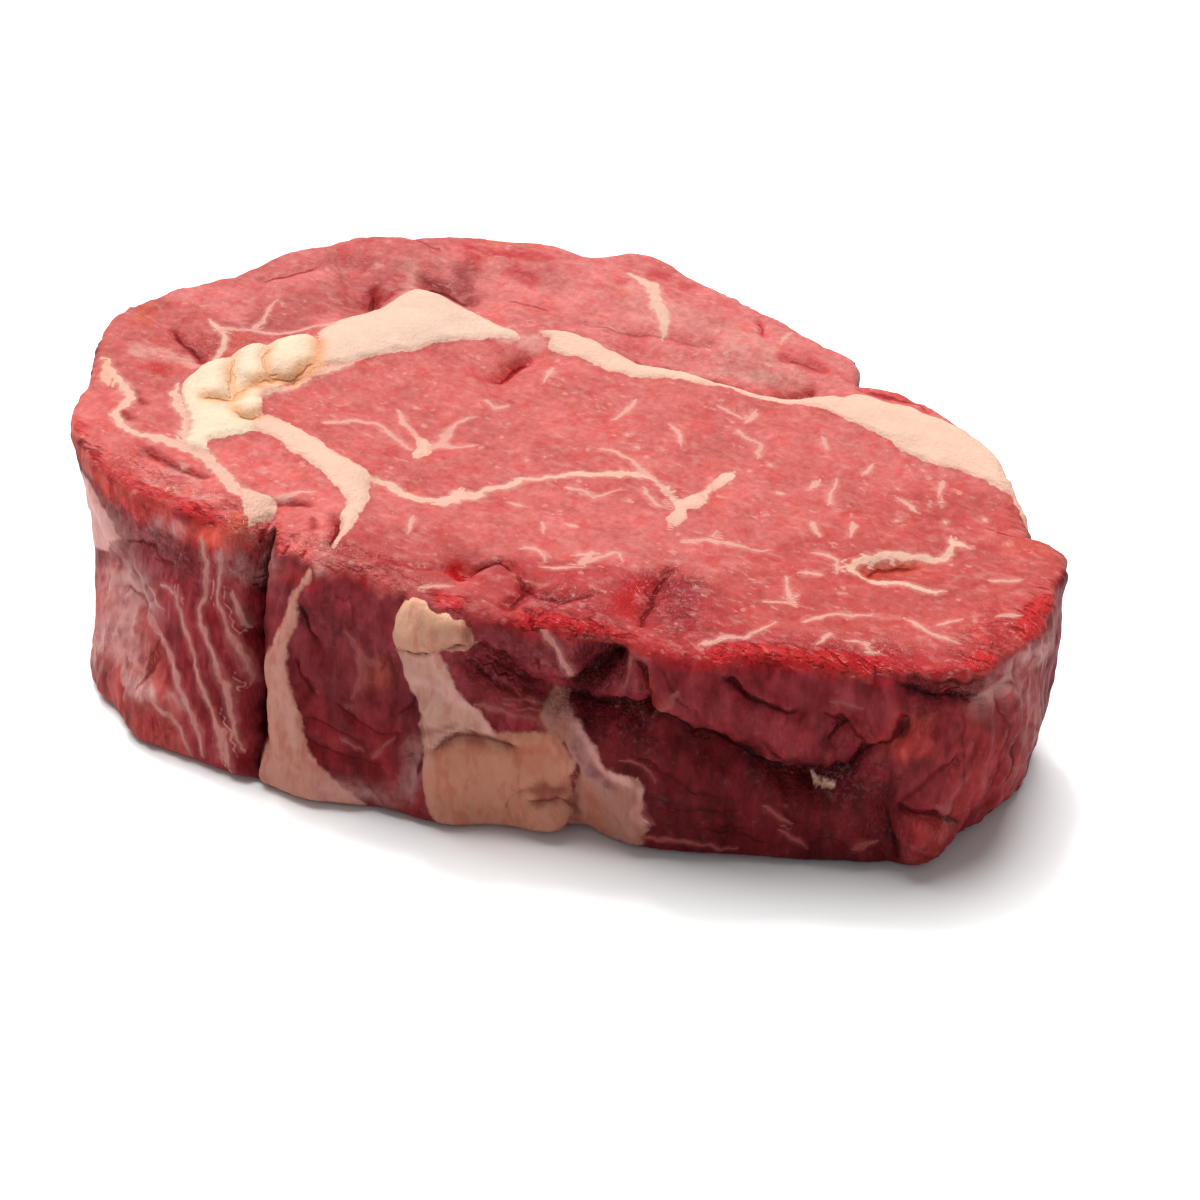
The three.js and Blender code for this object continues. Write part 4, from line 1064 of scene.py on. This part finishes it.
def cloud(tree, place, size, detail=2.0, distortion=0.0, seed=0.0):  # noise, its features this size in mm
    shifted = {0: place, 1: (seed * 37.0, seed * -53.0, seed * 71.0)}
    place = addNode(tree, "ShaderNodeVectorMath", shifted, operation="ADD").outputs[0] if seed else place
    values = {"Vector": place, "Scale": 1 / size, "Detail": detail, "Distortion": distortion}
    return addNode(tree, "ShaderNodeTexNoise", values).outputs[0]


def attribute(tree, name, output="Fac"):
    return addNode(tree, "ShaderNodeAttribute", attribute_name=name).outputs[output]


meat = {
    "stretch": 0.4,  # fibres run this much longer down the wall
    "mottle": 0.5,
    "grain": 0.45,
    "wallMottle": 0.8,
    "deepening": 1.6,
    "wetContrast": 1.2,
    "redPatches": (1.0, 0.66, 0.66, 1),
    "darkPatches": (0.72, 0.5, 0.56, 1),
    "bloomTone": (240, 168, 158),
    "bloomStrength": 0.32,
    "fleckTone": (248, 186, 172),
    "fleckStrength": 0.4,
    "fatEdgeTone": (240, 160, 135),
    "wallFatBlotches": (0.86, 0.62, 0.6, 1),
    "veinHalo": 0.3,
    "creaseShade": (0.5, 0.1, 0.14, 1),
    "tuftTone": (222, 40, 42),
    "strandTone": (238, 120, 112),
    "tuftShade": (0.5, 0.14, 0.17, 1),
    "tuftStrength": 0.8,
    "roughness": (0.4, 0.66),
    "coat": 1.0,
    "specular": 0.1,
    "bump": 0.6,
}


def makeMeat():
    material = bpy.data.materials.new("rawBeef")
    material.use_nodes = True
    tree = material.node_tree
    tree.nodes.clear()
    node, calc, eased = partial(addNode, tree), partial(calculate, tree), partial(ramp, tree)
    clouds, mixed, field = partial(cloud, tree), partial(mixTone, tree), partial(attribute, tree)
    objectPlace = node("ShaderNodeTexCoord").outputs["Object"]
    place = node("ShaderNodeVectorMath", {0: objectPlace, 3: 1000.0}, operation="SCALE").outputs[0]
    squeeze = (1.0, 1.0, meat["stretch"])
    fibrePlace = node("ShaderNodeVectorMath", {0: place, 1: squeeze}, operation="MULTIPLY").outputs[0]
    turned = {"Vector": place, "Rotation": (0, 0, -0.42), "Scale": (0.55, 1.0, 1.0)}
    drawnPlace = node("ShaderNodeMapping", turned).outputs[0]
    wall, wet, veil, rimShare = (field(name) for name in ("wall", "wet", "veil", "rim"))
    cutFace = calc("SUBTRACT", 1.0, wall)

    def swing(size, strength, detail=2.0, seed=0.0, where=place):  # noise either side of nought
        noise = calc("SUBTRACT", clouds(where, size, detail, seed=seed), 0.5)
        return calc("MULTIPLY", noise, strength)

    def product(*shares):
        total = shares[0]
        for share in shares[1:]:
            total = calc("MULTIPLY", total, share)
        return total

    def asTone(colour, light="topLight"):
        return (*(linear(colour) / look[light]), 1)

    # muscle: mottled, with redder patches and a pale bloom
    grain = clouds(fibrePlace, 1.1, 4, seed=2)
    value = calc("ADD", swing(9, meat["mottle"], 3, 1, fibrePlace), 1.0)
    value = calc("MULTIPLY_ADD", calc("SUBTRACT", grain, 0.5), meat["grain"], value)
    value = calc("ADD", value, swing(3, 0.38, 3, 14, drawnPlace))
    value = calc("ADD", value, product(swing(1.3, 0.4, 3, 30), cutFace))
    value = calc("MULTIPLY_ADD", wet, swing(2.4, meat["wetContrast"], 4, 15), value)
    uneven = calc("ADD", swing(5.5, 1.6, 5, 31, fibrePlace), swing(1.7, 1.3, 4, 32, fibrePlace))
    value = calc("MULTIPLY_ADD", wall, uneven, value)
    value = calc("MAXIMUM", value, 0.05)
    deeper = calc("POWER", value, meat["deepening"])
    scale = node("ShaderNodeCombineXYZ", {0: value, 1: deeper, 2: deeper}).outputs[0]
    meatTone = {0: field("meatTone", "Vector"), 1: scale}
    muscle = node("ShaderNodeVectorMath", meatTone, operation="MULTIPLY").outputs[0]
    redder = eased(clouds(place, 3.6, 3, 0.3, seed=3), 0.46, 0.68, 0.0, 0.75)
    muscle = mixed(redder, muscle, meat["redPatches"], "MULTIPLY")
    bloom = eased(clouds(drawnPlace, 1.5, 4, seed=16), 0.5, 0.74, 0.0, meat["bloomStrength"])
    muscle = mixed(product(bloom, cutFace), muscle, asTone(meat["bloomTone"]))
    blotches = eased(clouds(fibrePlace, 4.5, 5, 0.6, seed=26), 0.5, 0.66, 0.0, meat["wallMottle"])
    muscle = mixed(product(blotches, wall), muscle, meat["darkPatches"], "MULTIPLY")

    # fine marbling: soft dashes and dots
    dashes = eased(clouds(drawnPlace, 1.2, 2.0, 0.3, seed=4), 0.6, 0.7)
    dashes = product(dashes, eased(clouds(place, 6, 2, seed=5), 0.42, 0.62))
    dots = node("ShaderNodeTexVoronoi", {"Vector": place, "Scale": 1 / 4.4}, feature="F1")
    dotSize = node("ShaderNodeSeparateColor", {0: dots.outputs["Color"]}).outputs[1]
    dotShape = calc("MULTIPLY_ADD", dotSize, 0.13, calc("MULTIPLY", dots.outputs["Distance"], -1))
    dotShape = eased(calc("ADD", dotShape, swing(0.9, 0.22, 2, 17)), -0.05, 0.04)
    flecks = product(calc("MAXIMUM", dashes, dotShape), eased(wall, 0.2, 0.8, 1.0, 0.15))
    flecks = calc("MULTIPLY", flecks, meat["fleckStrength"])
    muscle = mixed(flecks, muscle, asTone(meat["fleckTone"]))

    # torn fibres along the rim: a broken bright band, with painted shade in the gaps between fibres, and
    # pale strands drawn along it that are partly a painted highlight
    alongRim = node("ShaderNodeMapping", {**turned, "Scale": (0.3, 1.0, 0.8)}).outputs[0]
    tufts = calc("ADD", rimShare, swing(3.2, 1.1, 4, 18, alongRim))
    tufts = product(eased(tufts, 0.3, 0.7), eased(rimShare, 0.04, 0.3))
    muscle = mixed(product(tufts, meat["tuftStrength"]), muscle, asTone(meat["tuftTone"]))
    gaps = product(eased(clouds(alongRim, 0.9, 3, 0.5, seed=19), 0.47, 0.36), eased(rimShare, 0.1, 0.5))
    muscle = mixed(product(gaps, 0.85), muscle, meat["tuftShade"], "MULTIPLY")
    strands = product(eased(clouds(alongRim, 0.7, 2, 0.3, seed=27), 0.6, 0.7), eased(rimShare, 0.1, 0.5))
    muscle = mixed(product(strands, 0.6), muscle, asTone(meat["strandTone"]))

    # painted shade of fine creases: dark strokes where the cut face is wet and rough, and in patches of
    # the wall
    wrinkle = calc("ABSOLUTE", swing(6, 1.0, 5, 24, fibrePlace))
    wrinkle = product(eased(wrinkle, 0.03, 0.0), eased(clouds(place, 8, 2, seed=25), 0.46, 0.62), wall)
    winding = calc("ABSOLUTE", swing(3.0, 1.0, 5, 6, drawnPlace))
    strokes = product(eased(winding, 0.05, 0.0), eased(wet, 0.15, 0.7))
    lines = calc("MAXIMUM", product(wrinkle, 0.5), product(strokes, 0.6))
    muscle = mixed(lines, muscle, meat["tuftShade"], "MULTIPLY")

    # fat: patches with a pinker edge, and veins drawn along their own lines
    wobble = product(swing(1.5, 1.1, 3, 20), eased(wall, 0, 1, 1.0, 0.35))
    depth = calc("ADD", field("fat"), swing(1.6, 1.3, 4, 8))
    patches = eased(depth, eased(wall, 0, 1, -0.12, -0.4), eased(wall, 0, 1, 0.2, 0.4))
    half = calc("MULTIPLY", field("veinHalf"), calc("ADD", swing(1.8, 2.2, 3, 21), 1.0))
    distance = calc("ABSOLUTE", calc("ADD", field("vein"), wobble))
    veinDepth = calc("SUBTRACT", half, distance)
    close = eased(calc("SUBTRACT", field("veinReach"), half), 1.0, 0.6)
    veins = product(eased(veinDepth, -0.24, 0.16), close, 0.92)
    halo = product(eased(veinDepth, -1.1, 0.0), close, meat["veinHalo"])
    fatShare = calc("MAXIMUM", patches, veins)
    fatValue = calc("ADD", swing(4, 0.2, 4, 9), calc("ADD", swing(1, 0.12, 2, 22), 1.0))
    fat = addNode(
        tree, "ShaderNodeVectorMath", {0: field("fatTone", "Vector"), 3: fatValue}, operation="SCALE"
    ).outputs[0]
    # darker blotches of random noise on the wall's fat
    blotchedFat = eased(clouds(fibrePlace, 2.4, 4, 0.8, seed=28), 0.44, 0.66, 0.0, 0.7)
    fat = mixed(product(blotchedFat, wall), fat, meat["wallFatBlotches"], "MULTIPLY")
    pinkness = product(eased(depth, 1.2, 0.1, 0.0, 0.55), patches, cutFace,
                       eased(clouds(place, 3, 2, seed=10), 0.35, 0.65))
    fat = mixed(pinkness, fat, asTone(meat["fatEdgeTone"]))
    muscle = mixed(halo, muscle, fat)
    colour = mixed(fatShare, muscle, fat)

    # milky lining on parts of the wall
    streaks = eased(clouds(place, 3.2, 5, 0.8, seed=11), 0.2, 0.75)
    lining = calc("MULTIPLY", veil, streaks, clamp=True)
    colour = mixed(lining, colour, asTone(wallTones["lining"], "wallLight"))

    # creases: painted shade, dark lines no wider than a fibre
    line = calc("ABSOLUTE", calc("MULTIPLY_ADD", wobble, 0.7, field("crease")))
    deep = field("creaseDeep")
    line = calc("SUBTRACT", calc("MULTIPLY_ADD", deep, 0.16, 0.04), line)
    creases = product(eased(line, -0.36, 0.1), eased(field("creaseReach"), 1.2, 0.8),
                      eased(deep, 0.1, 0.9))
    shaded = product(creases, eased(fatShare, 0, 1, 1.0, 0.06))
    colour = mixed(shaded, colour, meat["creaseShade"], "MULTIPLY")

    # gloss and fine relief
    fine = clouds(fibrePlace, 0.5, 3, seed=12)
    gloss = eased(clouds(fibrePlace, 2.6, 3, seed=13), 0.3, 0.7, *meat["roughness"])
    height = calc("MULTIPLY_ADD", fine, 0.3, calc("MULTIPLY", grain, 0.7))
    height = calc("MULTIPLY_ADD", product(fine, wet), 2.2, height)
    height = calc("MULTIPLY_ADD", gaps, -0.9, height)
    height = calc("MULTIPLY_ADD", creases, -0.6, height)
    bump = node("ShaderNodeBump", {"Strength": meat["bump"], "Distance": 0.0006, "Height": height})
    shine = product(wet, meat["coat"], eased(clouds(place, 0.9, 2, seed=23), 0.54, 0.64),
                    eased(wall, 0, 1, 1.0, 0.6))
    shader = node("ShaderNodeBsdfPrincipled", {
        "Base Color": colour,
        "Roughness": gloss,
        "Normal": bump.outputs[0],
        "IOR": 1.42,
        "Specular IOR Level": meat["specular"],
        "Coat Weight": shine,
        "Coat Roughness": 0.08,
        "Coat Normal": bump.outputs[0],
    })
    output = node("ShaderNodeOutputMaterial")
    tree.links.new(shader.outputs[0], output.inputs[0])
    return material


rawBeef = makeMeat()

surface = {
    "Grain Size": 3.2,  # mm
    "Grain Height": 0.45,
    "Fibre Height": 1.5,
    "Fat Lump Size": 5.0,
    "Fat Lump Height": 0.45,
    "Wet Height": 0.5,
    "Rim Tear": 0.7,
    "Seed": 3.0,
}


def makeSurfaceTree():  # fine relief pushed out of the plain slab
    tree = bpy.data.node_groups.new("meatRelief", "GeometryNodeTree")
    tree.interface.new_socket("Geometry", in_out="INPUT", socket_type="NodeSocketGeometry")
    for name in surface:
        tree.interface.new_socket(name, in_out="INPUT", socket_type="NodeSocketFloat")
    tree.interface.new_socket("Material", in_out="INPUT", socket_type="NodeSocketMaterial")
    tree.interface.new_socket("Geometry", in_out="OUTPUT", socket_type="NodeSocketGeometry")
    node, calc = partial(addNode, tree), partial(calculate, tree)
    given = node("NodeGroupInput").outputs

    def named(name):
        return node("GeometryNodeInputNamedAttribute", {"Name": name}, data_type="FLOAT").outputs[0]

    def rough(place, size, detail, seedStep):
        seed = calc("ADD", given["Seed"], seedStep)
        scale = calc("DIVIDE", 1000.0, size)
        values = {"Vector": place, "Scale": scale, "Detail": detail, "W": seed}
        noise = node("ShaderNodeTexNoise", values, noise_dimensions="4D").outputs[0]
        return calc("SUBTRACT", noise, 0.5)

    position = node("GeometryNodeInputPosition").outputs[0]
    squeeze = (1.0, 1.0, 0.16)  # fibres run down the wall
    drawn = node("ShaderNodeVectorMath", {0: position, 1: squeeze}, operation="MULTIPLY").outputs[0]
    wall, rimShare = named("wall"), named("rim")
    fatShare = ramp(tree, named("fat"), -0.3, 1.2)
    grain = calc("MULTIPLY", rough(drawn, given["Grain Size"], 3.0, 0.0), given["Grain Height"])
    fibres = calc("MULTIPLY", rough(drawn, 2.2, 2.0, 1.0), given["Fibre Height"])
    fibres = calc("MULTIPLY", fibres, wall)
    meatHeight = calc("MULTIPLY", calc("ADD", grain, fibres),
                           calc("MULTIPLY_ADD", fatShare, -0.6, 1.0))
    lumps = calc("MULTIPLY", rough(position, given["Fat Lump Size"], 2.0, 2.0), given["Fat Lump Height"])
    total = calc("MULTIPLY_ADD", lumps, fatShare, meatHeight)
    tear = calc("MULTIPLY", rough(drawn, 3.0, 3.0, 3.0), given["Rim Tear"])
    total = calc("MULTIPLY_ADD", tear, rimShare, total)
    coarse = calc("MULTIPLY", rough(position, 2.6, 3.0, 4.0), given["Wet Height"])
    total = calc("MULTIPLY_ADD", coarse, named("wet"), total)
    total = calc("MULTIPLY_ADD", named("proud"), 0.5, total)
    metres = 0.002  # noise runs from -0.5 to 0.5, so that a height of 1 is 1 mm either way
    total = calc("MULTIPLY", calc("MULTIPLY", total, named("relief")), metres)
    normal = node("GeometryNodeInputNormal").outputs[0]
    offset = node("ShaderNodeVectorMath", {0: normal, 3: total}, operation="SCALE").outputs[0]
    moved = node("GeometryNodeSetPosition", {"Geometry": given["Geometry"], "Offset": offset})
    whole = node("GeometryNodeRealizeInstances", {"Geometry": moved.outputs[0]})
    worn = {"Geometry": whole.outputs[0], "Material": given["Material"]}
    dressed = node("GeometryNodeSetMaterial", worn)
    output = node("NodeGroupOutput")
    tree.links.new(dressed.outputs[0], output.inputs[0])
    return tree


def grow(source, tree, values, name):  # the tree's result as a plain mesh object
    modifier = source.modifiers.new(tree.name, "NODES")
    modifier.node_group = tree
    for item in tree.interface.items_tree:
        if item.in_out == "INPUT" and item.name in values:
            modifier[item.identifier] = values[item.name]
    bpy.context.view_layer.update()
    evaluated = source.evaluated_get(bpy.context.evaluated_depsgraph_get())
    mesh = bpy.data.meshes.new_from_object(evaluated)
    source.modifiers.remove(modifier)
    mesh.name = name
    piece = bpy.data.objects.new(name, mesh)
    bpy.context.scene.collection.objects.link(piece)
    return piece


def makeSteak():
    points = steakPoints.copy()
    points[:, :2] += slab["shift"]
    mesh = bpy.data.meshes.new("slabMesh")
    mesh.from_pydata((points / 1000).tolist(), [], steakQuads.tolist() + steakTriangles.tolist())
    for name, values in fields.items():
        kind = "FLOAT" if values.ndim == 1 else "FLOAT_VECTOR"
        layer = mesh.attributes.new(name, kind, "POINT")
        entry = "value" if kind == "FLOAT" else "vector"
        layer.data.foreach_set(entry, values.astype(np.float32).ravel())
    slabObject = bpy.data.objects.new("slab", mesh)
    bpy.context.scene.collection.objects.link(slabObject)
    piece = grow(slabObject, makeSurfaceTree(), {**surface, "Material": rawBeef}, "steakMeat")
    bpy.data.objects.remove(slabObject)
    piece.data.shade_smooth()
    return piece


steakMeat = makeSteak()
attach(steakMeat, "root")
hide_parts("ribeye_steak")
print("steak made:", len(steakMeat.data.polygons), "faces")

studio = {
    "floorSize": 8.0,
    "floorTone": (0.88, 0.88, 0.88, 1),
    "sunStrength": 4.8,
    "glintStrength": 0.7,  # a small lamp that only shows in the wet places
    "sunAngle": 56,  # degrees across, for soft shadows
    "glintAngle": 6,
    "sunFrom": (-0.3, 0.3, 1.0),
    "worldStrength": 0.34,
    "cameraTarget": (10.5, -10.5, 20),  # mm on the steak's plan
    "cameraBack": (0.3872, -0.6985, 0.6018),
    "cameraDistance": 600,
    "lens": 101.34,
}


def makeFloor():
    half = studio["floorSize"] / 2
    mesh = bpy.data.meshes.new("floor")
    corners = [(-half, -half, 0), (half, -half, 0), (half, half, 0), (-half, half, 0)]
    mesh.from_pydata(corners, [], [(0, 1, 2, 3)])
    floor = bpy.data.objects.new("floor", mesh)
    bpy.context.scene.collection.objects.link(floor)
    material = bpy.data.materials.new("paleFloor")
    material.use_nodes = True
    shader = material.node_tree.nodes["Principled BSDF"]
    shader.inputs["Base Color"].default_value = studio["floorTone"]
    shader.inputs["Roughness"].default_value = 0.9
    shader.inputs["Specular IOR Level"].default_value = 0.1
    mesh.materials.append(material)


def makeSun(name, strength, angle):
    sun = bpy.data.lights.new(name, "SUN")
    sun.energy = strength
    sun.angle = math.radians(angle)
    sunObject = bpy.data.objects.new(name, sun)
    sunObject.rotation_mode = "QUATERNION"
    sunObject.rotation_quaternion = Vector(studio["sunFrom"]).to_track_quat("Z", "Y")
    bpy.context.scene.collection.objects.link(sunObject)


def makeLights():
    makeSun("softSun", studio["sunStrength"], studio["sunAngle"])
    makeSun("glintSun", studio["glintStrength"], studio["glintAngle"])
    world = bpy.data.worlds.new("studioWorld")
    world.use_nodes = True
    background = world.node_tree.nodes["Background"]
    background.inputs["Color"].default_value = (1, 1, 1, 1)
    background.inputs["Strength"].default_value = studio["worldStrength"]
    bpy.context.scene.world = world


def makeCamera():
    data = bpy.data.cameras.new("camera")
    data.lens = studio["lens"]
    data.sensor_width = 36
    data.clip_start, data.clip_end = 0.01, 20
    camera = bpy.data.objects.new("camera", data)
    back = Vector(studio["cameraBack"])
    target = Vector(studio["cameraTarget"]) + Vector((*slab["shift"], 0))
    camera.location = (target + back * studio["cameraDistance"]) / 1000
    camera.rotation_mode = "QUATERNION"
    camera.rotation_quaternion = back.to_track_quat("Z", "Y")
    bpy.context.scene.collection.objects.link(camera)
    bpy.context.scene.camera = camera


makeFloor()
makeLights()
makeCamera()
bpy.context.scene.view_settings.view_transform = "Standard"
